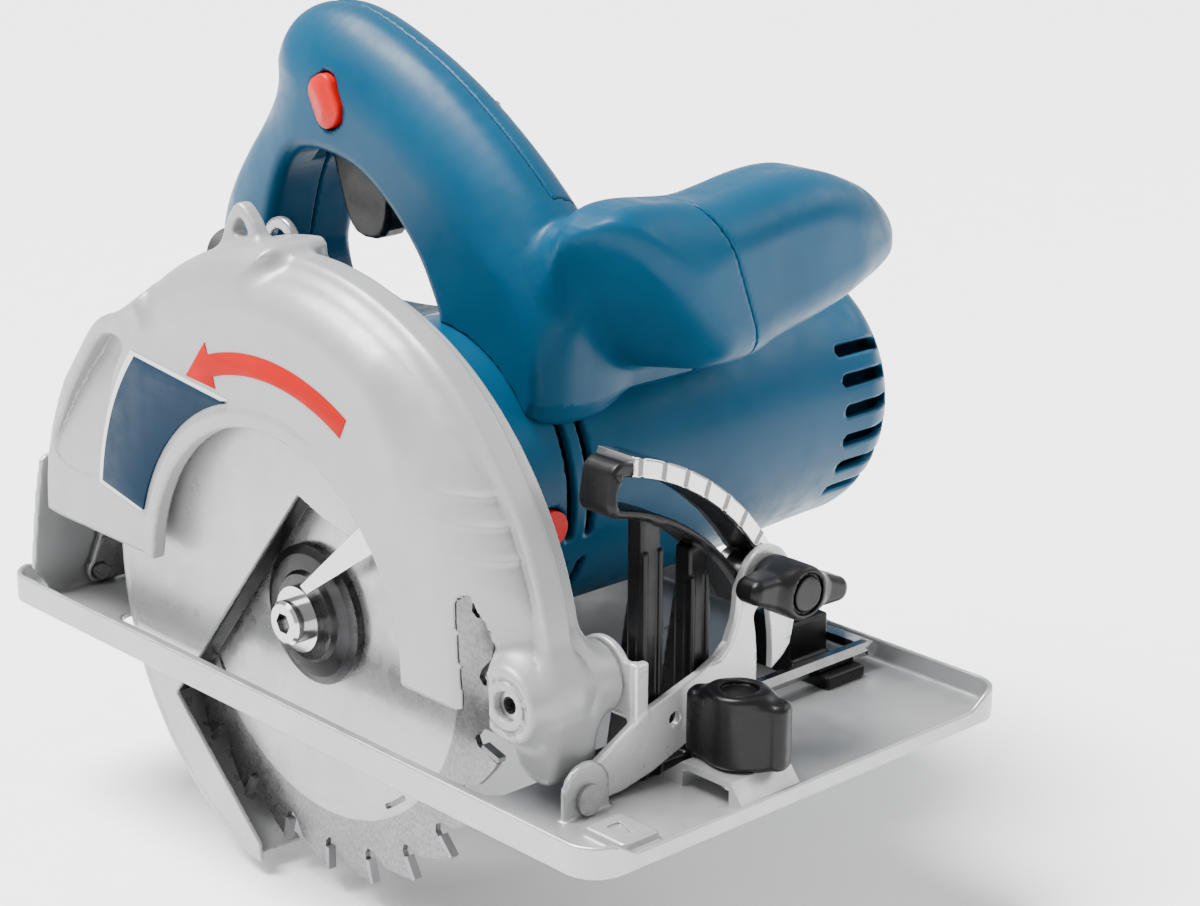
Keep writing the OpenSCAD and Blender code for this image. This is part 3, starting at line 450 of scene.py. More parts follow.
TEAL = (0.0006, 0.050, 0.105)
PLASTIC = material("housing_plastic", TEAL, 0.36, grain=0.00010, grain_scale=3200, bump=0.35, mottle=0.10,
                   mottle_scale=30, wear=0.25, worn=(0.004, 0.085, 0.16), specular=0.14, dirt=0.25)
GUARD_COAT = material("guard_coat", (0.27, 0.272, 0.275), 0.38, 0.15, grain=0.00008, grain_scale=2200,
                      bump=0.2, mottle=0.05, mottle_scale=35, wear=0.5, worn=(0.42, 0.42, 0.425), coat=0.1,
                      coat_rough=0.25, dirt=0.3)
LOWER_COAT = material("lower_guard_metal", (0.36, 0.362, 0.366), 0.32, 0.4, grain=0.00005, grain_scale=1800,
                      mottle=0.05, wear=0.3, worn=(0.45, 0.45, 0.45), dirt=0.3)
BASE_METAL = material("base_metal", (0.36, 0.362, 0.366), 0.36, 0.55, grain=0.00012, grain_scale=420,
                      bump=0.16, mottle=0.05, mottle_scale=22, wear=0.2, worn=(0.45, 0.45, 0.45), dirt=0.15)
BRACKET_METAL = material("bracket_metal", (0.55, 0.552, 0.556), 0.32, 0.35, grain=0.00008, grain_scale=600,
                         bump=0.15, mottle=0.05, wear=0.3, worn=(0.5, 0.5, 0.5), dirt=0.3)
PLATED = material("plated_steel", (0.30, 0.30, 0.303), 0.26, 0.9, grain=0.00004, mottle=0.10, wear=0.3,
                  worn=(0.5, 0.5, 0.5), dirt=0.3)
BRIGHT = material("bright_steel", (0.5, 0.5, 0.505), 0.14, 1.0, grain=0.00003, mottle=0.05, rough_spread=0.05)
BLACK = material("black_plastic", (0.0035, 0.0035, 0.004), 0.34, grain=0.00010, grain_scale=2400, bump=0.35,
                 mottle=0.15, wear=0.4, worn=(0.02, 0.02, 0.021), specular=0.2)
RED = material("red_plastic", (0.50, 0.0015, 0.0005), 0.30, grain=0.00005, mottle=0.08, wear=0.2,
               worn=(0.6, 0.01, 0.006), specular=0.15)
RED_INK = material("red_ink", (0.36, 0.0008, 0.0003), 0.45, specular=0.06, grain=0.00003, mottle=0.06)
PANEL_FILM = material("panel_film", (0.0002, 0.014, 0.034), 0.4, grain=0.00003, mottle=0.06, specular=0.06)
PANEL_EDGE = material("panel_border", (0.50, 0.502, 0.506), 0.35, grain=0.00003, mottle=0.04)
DARK_STEEL = material("dark_steel", (0.02, 0.02, 0.021), 0.30, 0.85, grain=0.00005, mottle=0.2, wear=0.4,
                      worn=(0.12, 0.12, 0.12))
RUBBER = material("rubber", (0.012, 0.012, 0.013), 0.6, grain=0.00015, grain_scale=1500, mottle=0.2)
CASE_METAL = material("case_metal", (0.36, 0.365, 0.37), 0.42, 0.8, grain=0.0002, grain_scale=900, bump=0.3,
                      mottle=0.10, dirt=0.4)
BRONZE = material("bronze", (0.50, 0.30, 0.12), 0.38, 0.9, grain=0.0001, mottle=0.12)
COPPER = material("copper", (0.50, 0.19, 0.06), 0.35, 0.85, grain=0.0003, grain_scale=1100, bump=0.5,
                  mottle=0.15, brushed=(1, 6, 1))
LAMINATION = material("lamination", (0.16, 0.16, 0.17), 0.45, 0.8, grain=0.0003, grain_scale=900, bump=0.4,
                      mottle=0.12, brushed=(0.1, 6, 0.1))
CARBON = material("carbon", (0.03, 0.03, 0.03), 0.6, 0.1, grain=0.0001, mottle=0.2)
CARBIDE = material("carbide", (0.24, 0.24, 0.25), 0.4, 0.7, grain=0.00008, mottle=0.1)
CHROME = material("chrome_scale", (0.55, 0.55, 0.555), 0.12, 1.0, grain=0.00004, mottle=0.05,
                  rough_spread=0.05)
BEARING = material("bearing_steel", (0.6, 0.6, 0.61), 0.18, 1.0, grain=0.00003, mottle=0.05)


def blade_paint(node, link, ramp, mix, noise, base):
    """A lighter printed disc in the middle of the blade."""
    where = node("ShaderNodeTexCoord")
    shift = node("ShaderNodeVectorMath", operation="SUBTRACT")
    link(where.outputs["Object"], shift.inputs[0])
    shift.inputs[1].default_value = SPIN * MM
    flat = node("ShaderNodeVectorMath", operation="MULTIPLY")
    link(shift.outputs["Vector"], flat.inputs[0])
    flat.inputs[1].default_value = (1, 0, 1)
    length = node("ShaderNodeVectorMath", operation="LENGTH")
    link(flat.outputs["Vector"], length.inputs[0])
    print_r, soft = 0.0612, 0.0002
    printed = mix(ramp(noise(60, 4), 0, 1), (0.30, 0.30, 0.303), (0.34, 0.34, 0.343))
    return mix(ramp(length.outputs["Value"], 1, 0, print_r - soft, print_r + soft), base, printed)


BLADE_STEEL = material("blade_steel", (0.12, 0.12, 0.122), 0.28, 0.8, grain=0.00004, grain_scale=900,
                       mottle=0.08, paint=blade_paint, wear=0.3, worn=(0.4, 0.4, 0.4))

NODE_LOOKS = {
    BASE_METAL: ["base_plate", "fence_bridge"],
    BRACKET_METAL: ["front_bracket"],
    BLACK: ["bevel_quadrant", "hex_key_clip", "fence_knob", "bevel_knob", "depth_lever", "trigger",
            "air_baffle", "cooling_fan", "power_switch"],
    CHROME: ["bevel_scale"],
    PLATED: ["quadrant_screws", "bevel_pins", "rear_bracket", "depth_pivot_pin", "bevel_bolt",
             "housing_screws", "guard_spring", "guard_ring", "depth_clamp_bolt", "spindle_shaft",
             "spindle_gear", "armature_shaft", "brush_springs"],
    BRIGHT: ["hex_key", "blade_bolt", "guard_tab"],
    GUARD_COAT: ["upper_guard"],
    LOWER_COAT: ["lower_guard"],
    PANEL_FILM: ["guard_panel"],
    CASE_METAL: ["gear_housing", "bearing_bracket"],
    BEARING: ["spindle_bearing", "front_armature_bearing", "rear_armature_bearing"],
    BRONZE: ["spindle_bushing", "brush_holders"],
    PLASTIC: ["motor_housing", "handle_half_right", "handle_half_left", "front_handle"],
    LAMINATION: ["stator_core", "rotor_core"],
    COPPER: ["field_coils", "rotor_windings", "commutator"],
    CARBON: ["carbon_brushes"],
    RUBBER: ["cable_gland"],
    RED: ["lock_off_button", "spindle_lock_button"],
    DARK_STEEL: ["inner_flange", "outer_flange"],
    BLADE_STEEL: ["saw_blade"],
    CARBIDE: ["carbide_tips"],
}


def dress_cad():
    """A material on every CAD node."""
    for look, names in NODE_LOOKS.items():
        for name in names:
            obj = frame["nodes"][name]
            obj.data.materials.clear()
            obj.data.materials.append(look)


dress_cad()


# ---- upper guard ----
NEAR = GUARD[0].y + 0.8
FAR = NEAR + 29
SHELL_R, FLANGE_R, DRUM_R, CHUTE_R = 100, 103.6, 98.5, 106.8
SWING_R, WINDOW_R, BEZEL_R = 89, 57, 61.5
WALL = 2.8
CHUTE_FRONT, CHUTE_REAR = 93, 134
# how high the guard's lower edge is behind and before the window
FLOOR_REAR, FLOOR_FRONT = 31, 26
TAIL = [(-60, 112), (-77, 102), (-84, 100), (-90, 96), (-99, 85), (-108, 74), (-117, 54), (-119.6, 38),
        (-119.6, 28), (-60, 28), (-40, 60)]
TAIL_INSIDE = [(-60, 104), (-76, 98), (-87, 92), (-104, 72), (-113, 53), (-116, 30), (-116, 20), (-60, 20)]
POCKET = [(-84, 94), (-92, 85), (-99, 76), (-105, 67), (-114.5, 49.5), (-87, 48), (-83.5, 60), (-83, 70),
          (-80, 79), (-76, 87), (-71, 94), (-77, 96)]
LOBE = [(84, 27), (85, 12), (90, 8), (97, 7), (101, 10), (102, 18), (100, 29)]
LUG = [(-42, 122), (-37, 133), (-34, 138.5), (-30.5, 141), (-27, 139.6), (-22.5, 135), (-17, 124)]
LUG_HOLE = [(-34.6, 131), (-24.4, 131), (-29.5, 138)]
RIBS = (83, 76, 68)


def guard_sides(r, angle, front):
    """Distance outside the wedge from a front angle round to the chute's rear end."""
    return r * np.maximum(np.sin(np.radians(front - angle)), np.sin(np.radians(angle - CHUTE_REAR)))


def guard_flat(x, z):
    """The shell's and tail's outlines in the blade's plane, and how near to the tail a point is, 0 to 1."""
    # towards the front, the near edge is broader
    shell = disc(x, z, SPINDLE, SHELL_R) / (1 + 1.1 * smooth(x, 40, 60))
    tail = outline(rounded(TAIL, 1), x, z)
    return shell, tail, 1 - smooth(tail - shell, -6, 6)


def guard_outside(x, y, z):
    """The upper guard as if it were solid: shell, tail, rear flange and the chute on top."""
    r, angle = polar(x, z, SPINDLE)
    from_pivot = disc(x, z, PIVOT_AXIS, 0)
    shell, tail, in_tail = guard_flat(x, z)
    # the wall sinks away round the pivot barrel
    sink = 6 * (1 - smooth(from_pivot, 12, 32)) * smooth(r, 78, 92)
    ribs = sum(np.exp(-((z - rib) / 1.1) ** 2) for rib in RIBS) * smooth(x, 56, 62) * (x < 96)
    near = round_and(join(shell - 0.35 * ribs, tail, 5), NEAR + sink - y, 12 - 9 * in_tail)
    near = round_and(near, y - (NEAR + 21), 1)
    fillet = 5 * np.clip((z - 70) / 45, 0.1, 1)
    body = join(near, slab(r - FLANGE_R, y, NEAR + 13, NEAR + 21.6, 1.6), fillet)
    body = join(body, slab(join(r - DRUM_R, tail, 5), y, NEAR + 14, FAR, 1.6), 1.5)
    chute = round_and(r - CHUTE_R, np.maximum(guard_sides(r, angle, CHUTE_FRONT), 88 - r), 3)
    chute = round_and(round_and(chute, NEAR + 2.5 - y, 10), y - (FAR - 1), 1.5)
    return join(body, chute, 4)


def guard_inside(x, y, z):
    """The room inside the upper guard, which always leaves a wall."""
    r, angle = polar(x, z, SPINDLE)
    deep = FAR - WALL
    room = np.minimum(slab(r - (SHELL_R - 4), y, NEAR + 8, deep), slab(r - (SHELL_R - 13), y, NEAR + 3, deep))
    chute = np.maximum(r - (CHUTE_R - 3), guard_sides(r, angle, CHUTE_FRONT + 2))
    chute = slab(chute, y, NEAR + 10, deep)
    tail = slab(outline(TAIL_INSIDE, x, z), y, NEAR + 10, deep)
    room = join(np.minimum(room, chute), tail, 3)
    return np.maximum(room, guard_outside(x, y, z) + 2)


def upper_guard(x, y, z):
    """The hollow guard with its window, bezel, pocket, gear-side wall, pivot barrel and lug."""
    r = disc(x, z, SPINDLE, 0)
    from_pivot = disc(x, z, PIVOT_AXIS, 0)
    across = np.abs(x - SPIN.x)
    body = cut(guard_outside(x, y, z), guard_inside(x, y, z), 0.6)
    body = cut(body, np.minimum(np.maximum(z - FLOOR_REAR, x + 43), z - FLOOR_FRONT), 0.8)
    slope_down = NEAR + 5 * np.clip((z - 48) / 40, 0, 1)
    body = cut(body, np.maximum(outline(rounded(POCKET), x, z), y - slope_down), 0.9)
    window = np.maximum(np.minimum(r - WINDOW_R, np.maximum(across - WINDOW_R, z - SPIN.z)), y - (NEAR + 4))
    proud = 0.8 - 2 * smooth(x, 5, 30)
    ring = np.maximum(np.where(z > SPIN.z, r, across) - BEZEL_R, FLOOR_REAR - z)
    body = join(body, slab(ring, y, NEAR - proud, NEAR + 4, 0.7), 1.2)
    body = cut(body, window, 0.9)
    # gear-side wall below the shell, and the hub that the lower guard turns on
    wall = round_and(slab(r - 40, y, FAR - WALL, FAR, 0.5), 1.4 - z, 0.4)
    hub = round_and(slab(r - 23.7, y, FAR - 6.2, FAR, 0.5), 1.4 - z, 0.4)
    body = cut(np.minimum(body, np.minimum(wall, hub)), r - 16, 0.4)
    barrel = slab(from_pivot - 10.3, y, NEAR + 4, NEAR + 36.5, 1.6)
    barrel = cut(barrel, slab(np.abs(from_pivot - 7.2) - 0.7, y, NEAR, NEAR + 4.7, 0.3), 0.3)
    lobe = slab(outline(rounded(LOBE), x, z), y, NEAR + 12, FAR - 1, 2.5)
    body = join(join(body, lobe, 4), barrel, 7)
    # room for the lower guard to swing past
    swing = np.maximum(slab(r - SWING_R, y, NEAR + 2, FAR - WALL), from_pivot - 30)
    body = cut(body, swing, 0.5)
    body = cut(body, from_pivot - 4.1, 0.4)
    lug = cut(slab(outline(rounded(LUG, 1), x, z), y, NEAR + 13, NEAR + 17.6, 1.2),
              outline(rounded(LUG_HOLE), x, z), 0.8)
    return join(body, lug, 2.5)


part(solid("upper_guard_shell", upper_guard, (-122, NEAR - 1, 0), (105, NEAR + 37, 142), 1.0,
           GUARD_COAT, "saw_unit"), ["upper_guard"])


# ---- panel on the blade side of the tail, its pale border, and the arrow for the blade's turn ----
PANEL_R = BEZEL_R + 2.4
ARROW_R, ARROW_HALF, HEAD_HALF = 75, 3.2, 6.6
TAIL_END, NECK, TIP = 62, 109, 119


def panel_outline(left, ends, radius):
    """The panel's outline, its left edge moved in by left, and its top and bottom by ends."""
    turn = math.degrees(math.atan2(18 + ends, -60.7))
    return (bowed((-87 + left, 48 + ends), (-67 + left, 93 - ends), 3.6)
            + arc(SPINDLE, radius, 104.6 + ends, turn))


def arrow_outline():
    """A bent arrow round the spindle, from TAIL_END degrees to TIP."""
    return (arc(SPINDLE, ARROW_R + ARROW_HALF, TAIL_END, NECK)
            + arc(SPINDLE, ARROW_R + HEAD_HALF, NECK, NECK + 0.2, 1)
            + arc(SPINDLE, ARROW_R, TIP, TIP + 0.2, 1)
            + arc(SPINDLE, ARROW_R - HEAD_HALF, NECK + 0.2, NECK, 1)
            + arc(SPINDLE, ARROW_R - ARROW_HALF, NECK, TAIL_END))


part(sheet("panel_border", panel_outline(0, 0, PANEL_R + 0.8), NEAR - 0.45, NEAR + 0.1, PANEL_EDGE,
           "saw_unit", 0.15), ["guard_panel"])
part(sheet("panel_film", panel_outline(2.2, 1.2, PANEL_R), NEAR - 0.7, NEAR + 0.1, PANEL_FILM,
           "saw_unit", 0.12), ["guard_panel"])
sheet("turn_arrow", arrow_outline(), NEAR - 0.22, NEAR + 0.1, RED_INK, "saw_unit", 0.05)


# ---- motor housing ----
MOTOR_AXIS = (SPIN.x, (MOTOR[0].z + MOTOR[1].z) / 2)
MOTOR_R = 46
LOCK = middle_of("spindle_lock_button")
FRONT_VENTS = ((-14, 34), (-40, -24))
FAR_VENTS = range(-36, 30, 13)
VENT_HALF = 1.4
VENT_Y = (-1.9, 5.5)


def drum(r, y, inset):
    """The motor housing's outside, or its inside at some inset: straight, tapered, then a dome."""
    taper = 3 * smooth(y, 58, 130)
    return round_and(r - (MOTOR_R - taper - inset), y - (MOTOR[1].y - inset), 18 - inset)


def motor_shell(x, y, z):
    """The hollow drum, with slots round its mouth, a row of vents at its far end and a button hole."""
    r, angle = polar(x, z, MOTOR_AXIS)
    body = round_and(drum(r, y, 0), MOTOR[0].y - y, 0.8)
    body = cut(body, np.maximum(drum(r, y, 3), MOTOR[0].y - 1 - y), 0.4)
    along = angle * math.radians(MOTOR_R)
    for start, end in FRONT_VENTS:
        middle = math.radians(MOTOR_R) * (start + end) / 2
        half = math.radians(MOTOR_R) * (end - start) / 2 - VENT_HALF
        for slot_y in VENT_Y:
            vent = np.hypot(past(along, middle - half, middle + half), y - slot_y) - VENT_HALF
            body = cut(body, vent, 0.7)
    # the far vents go through the front side only
    for turn in FAR_VENTS:
        out, side = turned(x - MOTOR_AXIS[0], z - MOTOR_AXIS[1], turn)
        vent = np.maximum(np.hypot(past(y, 118, 138), side) - 1.9, 26 - out)
        body = cut(body, vent, 0.8)
    button = np.maximum(disc(y, z, (LOCK.y, LOCK.z), 5.5), 20 - x)
    return cut(body, button, 0.8)


part(solid("motor_shell", motor_shell, (-50, -46, 10), (44, 147, 104.5), 1.15, PLASTIC, "saw_unit"),
     ["motor_housing"])


# ---- handles ----
GRIP_MID = 5
GRIP_HALF = 17.5
SEAM_X = 27.0
SEAM_EASE = 0.7
BUTTON = middle_of("lock_off_button")
LEAN = -28
SCREW_SPOTS = ((-12, 160), (-100, 90))
SCREW_END = node_box("housing_screws")[1].y
GRIP_OUTLINE = rounded([
    (42, 78), (42.5, 100), (43, 118), (38, 131), (26, 143), (8, 157), (-14.5, 171), (-38, 181), (-56, 186.4),
    (-70, 186.4), (-82, 181), (-89, 170), (-88, 161), (-94, 151), (-106, 137), (-116, 122), (-119.8, 108),
    (-117, 91), (-104, 84), (-60, 78), (-30, 70), (0, 60)])
FINGER_LOOP = rounded([
    (-36, 139.5), (-24, 131.5), (-13, 121), (-6.5, 110), (-2.5, 101.5), (-20, 98), (-48, 94), (-72, 94),
    (-82, 97), (-86.5, 106), (-84, 115), (-80, 128), (-76, 137), (-70, 143), (-60, 144.5), (-46, 143)])
BULB = rounded([
    (-9, 137), (-10.2, 125), (-8, 113), (-0.5, 102.5), (8.9, 97), (17.4, 94.5), (26, 94), (50, 93),
    (59, 96.5), (82, 100.6), (98, 104.6), (110, 107), (117, 111.5), (118.6, 118), (117, 126), (108, 134),
    (97, 138.5), (86, 142.5), (75.6, 144.6), (60, 144.4), (47, 142.6), (35.5, 141.4), (27, 142.2),
    (8, 144.6), (-2, 143)])
WEB = rounded([(18, 84), (20, 120), (32, 132), (44, 134), (46, 120), (42, 98), (38, 82)], 1)


def main_handle(x, y, z):
    """The D handle behind the motor, fuller where the hand closes round it."""
    fullness = 1.5 - 1.1 * smooth(x, -10, 10) * (1 - smooth(z, 95, 135)) - 0.2 * (1 - smooth(x, -110, -80))
    section = round_and(outline(GRIP_OUTLINE, x, z) / fullness, np.abs(y - GRIP_MID) - GRIP_HALF, 16)
    return cut(section, outline(FINGER_LOOP, x, z), 4)


def second_handle(x, y, z):
    """The second hand's grip, across the front of the saw."""
    middle = 51 - 5 * smooth(y, 30, 112)
    half = 19 - 4 * smooth(y, 88, 116) + smooth(y, 52, 78)
    # the end beside the main handle is more nearly a ball
    fullness = 2 - smooth(y, 6, 38)
    bar = round_and(outline(BULB, y, z) / fullness, np.abs(x - middle) - half, 14.5)
    # flat that runs off the front of the bulb towards the guard
    facet = 0.6 * (x - 70) - 0.65 * (y - 8.5) - 0.47 * (z - 132)
    return round_and(bar, facet, 5)


def handles(x, y, z):
    """Both handles as one solid, cut away where they sit on the motor."""
    web = slab(outline(WEB, x, z), y, -5, 60, 5)
    body = join(join(main_handle(x, y, z), second_handle(x, y, z), 5), web, 5)
    return cut(body, disc(x, z, MOTOR_AXIS, MOTOR_R + 0.1), 0.4)


def grip_seam(x, y, z):
    """Distance beyond the slanting seam round the second handle."""
    return (y - (81.9 + 0.056 * x - 0.398 * z)) * 0.93


def trigger_slot(x, y, z):
    """Room for the trigger between the handle's halves."""
    return slab(block(x, z, (-75, 128), (-29.5, 157), 2), y, GRIP_MID - 5.4, GRIP_MID + 5.4)


def button_well(x, y, z):
    """The hollow that the lock-off button sits in."""
    u, v = turned(x - BUTTON.x, z - BUTTON.z, -LEAN)
    return np.maximum(block(u, v, (-6.3, -8.5), (6.3, 8.5), 5.2), y - (GRIP_MID - GRIP_HALF + 10))


def right_shell(x, y, z):
    """The half on the blade's side, which also carries the second handle's root."""
    body = round_and(handles(x, y, z), grip_seam(x, y, z), SEAM_EASE)
    body = round_and(body, np.minimum(y - GRIP_MID, SEAM_X - x), SEAM_EASE)
    return cut(cut(body, trigger_slot(x, y, z), 0.4), button_well(x, y, z), 0.6)


def left_shell(x, y, z):
    """The half on the motor's side, with wells over the housing screws."""
    body = round_and(handles(x, y, z), np.maximum(GRIP_MID + 0.05 - y, x - SEAM_X + 0.05), SEAM_EASE)
    for spot in SCREW_SPOTS:
        body = cut(body, np.maximum(disc(x, z, spot, 3.3), SCREW_END - 1 - y), 0.6)
    return cut(body, trigger_slot(x, y, z), 0.4)


def front_grip(x, y, z):
    """The second handle beyond its seam."""
    body = round_and(handles(x, y, z), 0.1 - grip_seam(x, y, z), SEAM_EASE)
    return np.maximum(body, SEAM_X - x)


part(solid("handle_shell_right", right_shell, (-121, -14, 66), (73, 52, 188), 1.1, PLASTIC, "saw_unit"),
     ["handle_half_right"])
part(solid("handle_shell_left", left_shell, (-121, 4, 66), (28, 62, 188), 1.1, PLASTIC, "saw_unit"),
     ["handle_half_left"])
part(solid("front_grip", front_grip, (26, 20, 70), (73, 119, 147), 1.1, PLASTIC, "saw_unit"),
     ["front_handle"])


# ---- base plate ----
PLATE_X, PLATE_Y = BASE[1].x, BASE[1].y
RIM_H, LIP_H, RIM_T = 8.5, 4.5, 1.6
SLOT = ((-92, -68), (84, -37.5))
RELIEF = ((-36, -49.5), (30, -13))
EAR_REAR = rounded([(-79, 0.6), (-73.5, 45), (-70, 47.6), (-64.5, 47), (-46, 14), (-46, 0.6)], 1)
TILT_HOLE = 2.55
BEADS = ((-118, -24), (8, 110))
PIPS = ((30, 52), (52, 30), (6, 62))


def base_plate(x, y, z):
    """The pressed sole: rim, beads and pips, the blade's slot, two ears for the tilt and a marked pad."""
    edge = block(x, y, (-PLATE_X, -PLATE_Y), (PLATE_X, PLATE_Y), 10)
    height = LIP_H + (RIM_H - LIP_H) * smooth(np.abs(y), PLATE_Y - 16, PLATE_Y - 7)
    rim = slab(np.maximum(edge, -edge - RIM_T), z, 0, height, 0.7)
    body = join(slab(edge, z, 0, PLATE_T, 0.6), rim, 1.6)
    # each bead stands up beside a narrow groove
    for start, end in BEADS:
        beyond = past(x, start, end)
        body = join(body, np.hypot(np.hypot(beyond, y + 75), (z - PLATE_T) * 1.4) - 2.1, 0.8)
        body = cut(body, np.hypot(np.hypot(beyond, y + 71), z - PLATE_T - 0.3) - 1.1, 0.4)
    for px, py in PIPS:
        body = join(body, np.sqrt((x - px) ** 2 + (y - py) ** 2 + (2.2 * (z - PLATE_T)) ** 2) - 2.6, 0.6)
    body = cut(body, block(x, y, *SLOT, 5), 0.5)
    body = cut(body, block(x, y, *RELIEF, 4), 0.5)
    body = cut(body, disc(x, y, (FENCE.x, FENCE.y), 3.4), 0.4)
    front_ear = np.minimum(block(y, z, (TILT.y - 8, 1), (TILT.y + 8, TILT.z + 2)),
                           disc(y, z, (TILT.y, TILT.z + 2), 8))
    body = join(body, slab(front_ear, x, 106, 108, 0.6), 1.2)
    body = join(body, slab(outline(EAR_REAR, y, z), x, -124.2, -122.2, 0.6), 1.2)
    # raised pad on the front with the triangle that marks a square cut
    pad = slab(block(x, y, (PLATE_X - 20, TILT.y - 9), (PLATE_X - 5, TILT.y + 4), 1.5), z, 0.5, LIP_H, 0.8)
    mark = outline([(PLATE_X - 16, TILT.y - 5), (PLATE_X - 8.5, TILT.y - 2.5), (PLATE_X - 16, TILT.y)], x, y)
    body = cut(join(body, pad, 1.2), np.maximum(mark, LIP_H - 1 - z), 0.3)
    return np.maximum(body, edge)


part(solid("base", base_plate, (-137, -81, -1), (137, 81, 49), (1.1, 1.1, 0.6), BASE_METAL, "base"),
     ["base_plate"])


# ---- bevel quadrant, its scale and the bracket that tilts past it ----
QUAD = node_box("bevel_quadrant")
QUAD_R, QUAD_HALF = 80, 7.5
QUAD_START, QUAD_END = 26, 80.5
POSTS = ((-31.5, -24.5, 74), (-14, -7, 63))


def bevel_quadrant(x, y, z):
    """The slotted arc on two ribbed posts, with the foot that screws them down."""
    r, angle = polar(y, z, TILT_AXIS)
    scale = math.radians(QUAD_R)
    band = block(r, angle * scale, (QUAD_R - QUAD_HALF, QUAD_START * scale),
                 (QUAD_R + QUAD_HALF, QUAD_END * scale), 4)
    window = arc_slot(r, angle, QUAD_R - 0.6, (QUAD_START + 6, QUAD_END - 4.2), 4.2)
    front = QUAD[1].x
    body = slab(band, x, QUAD[0].x + 6, front, 1.2)
    rim = np.maximum(np.abs(band + 1.7) - 1.1, np.minimum(r - QUAD_R - 3.4, angle - 33))
    body = join(body, slab(rim, x, front - 2, front + 1.2, 0.9), 0.8)
    for low, high, top in POSTS:
        post = block(y, z, (low, PLATE_T), (high, top), 1)
        body = join(body, slab(post, x, front - 6, front, 1), 2)
        # a rib down each edge of the post
        for rib in (low + 0.8, high - 0.8):
            bar = block(y, z, (rib - 0.8, PLATE_T), (rib + 0.8, top - 8), 0.4)
            body = join(body, slab(bar, x, front - 2, front + 1, 0.5), 0.5)
        web = outline([(QUAD[0].x + 2, 4), (front - 4, 4), (front - 4, 56), (front - 7, 56)], x, z)
        body = join(body, slab(web, y, (low + high) / 2 - 1.5, (low + high) / 2 + 1.5, 0.6), 1)
    foot = block(x, y, (QUAD[0].x, QUAD[0].y), (front + 0.5, QUAD[0].y + 31), 2)
    body = join(body, slab(foot, z, PLATE_T, PLATE_T + 3, 0.8), 1.5)
    return cut(cut(body, window, 0.8), np.maximum(disc(x, y, (86.5, -20.5), 2.2), z - 9), 0.3)


part(solid("quadrant", bevel_quadrant, (QUAD[0].x - 1, QUAD[0].y - 1, PLATE_T - 1), QUAD[1] + 2 * MARGIN,
           0.7, BLACK, "base"), ["bevel_quadrant"])

SCALE = node_box("bevel_scale")
SCALE_R = QUAD_R + QUAD_HALF
SCALE_START, SCALE_END = 34, 76
SCALE_RIBS = range(SCALE_START + 4, SCALE_END, 6)


def bevel_scale(x, y, z):
    """A plated strip over the band's outer edge, its ribbed face turned a little outwards."""
    r, angle = polar(y, z, TILT_AXIS)
    ends = np.maximum(SCALE_START - angle, angle - SCALE_END) * math.radians(SCALE_R)
    face = SCALE[1].x + 1.6 - 0.2 * (r - SCALE_R + 3.6)
    strip = np.maximum(round_and(np.abs(r - SCALE_R + 1.2) - 2.6, x - face, 0.5), ends)
    body = np.maximum(strip, SCALE[0].x - x)
    for rib in SCALE_RIBS:
        bar = np.hypot((angle - rib) * math.radians(SCALE_R), (x - face) * 1.3) - 0.9
        body = join(body, np.maximum(bar, np.abs(r - SCALE_R + 1.2) - 2.4), 0.3)
    return body


part(solid("scale_strip", bevel_scale, (SCALE[0].x - 1, SCALE[0].y - 7, SCALE[0].z - 7),
           (SCALE[1].x + 3, SCALE[1].y + 3, SCALE[1].z + 4), 0.45, CHROME, "base"),
     ["bevel_scale"])

BRACKET = node_box("front_bracket")
BRACKET_T = 2.5
BOW, BOW_R, BOW_ENDS = (-60, 24), 72, (-2, 12)
ARM = rounded([
    (TILT.y - 1, TILT.z - 4), (-36, 3), (-12, 11.6), (4, 16.6), (18, 23.4), (23.4, 29), (23.4, KNOB.z + 1),
    (2, KNOB.z + 4), (-1, 36), (-8, 30), (-28, 24.4), (-34.5, 22.4), (-40, 19.4),
    (TILT.y - 1, TILT.z + 4)], 1)


def front_bracket(x, y, z):
    """The pressed arm from the tilt pin to the knob, lipped and slotted, with an ear for the pivot."""
    low = BRACKET[1].x - BRACKET_T
    flat = np.minimum(outline(ARM, y, z), disc(y, z, TILT_AXIS, 4.4))
    flat = join(flat, disc(y, z, (KNOB.y, KNOB.z), 9.6), 3)
    # a bowed slot below the knob, and a hole in the arm
    slot = arc_slot(*polar(y, z, BOW), BOW_R, BOW_ENDS, 2.9)
    flat = np.maximum(flat, -np.minimum(slot, disc(y, z, (-22, 18), 2)))
    body = slab(flat, x, low, BRACKET[1].x, 0.6)
    lip = np.abs(outline(ARM, y, z) + 1.2) - 0.6
    body = join(body, np.maximum(slab(lip, x, low, BRACKET[1].x + 0.5, 0.4), 30 - z), 0.5)
    ear = np.minimum(disc(x, z, PIVOT_AXIS, 10.5), block(x, z, (PIVOT.x, 21), (low + 1, PIVOT.z + 6)))
    body = join(body, slab(ear, y, -36.8, -34.5, 0.6), 1.5)
    body = join(body, slab(block(y, z, (-36.8, 20), (-32, PIVOT.z + 6), 0.5), x, low, BRACKET[1].x, 0.5), 1)
    body = cut(body, disc(y, z, TILT_AXIS, TILT_HOLE), 0.3)
    return cut(body, np.maximum(disc(x, z, PIVOT_AXIS, 4), y + 33), 0.3)


part(solid("bracket", front_bracket, BRACKET[0] - MARGIN, BRACKET[1] + Vector((1.5, 1, 1)), 0.65,
           BRACKET_METAL, "bevel_frame"), ["front_bracket"])

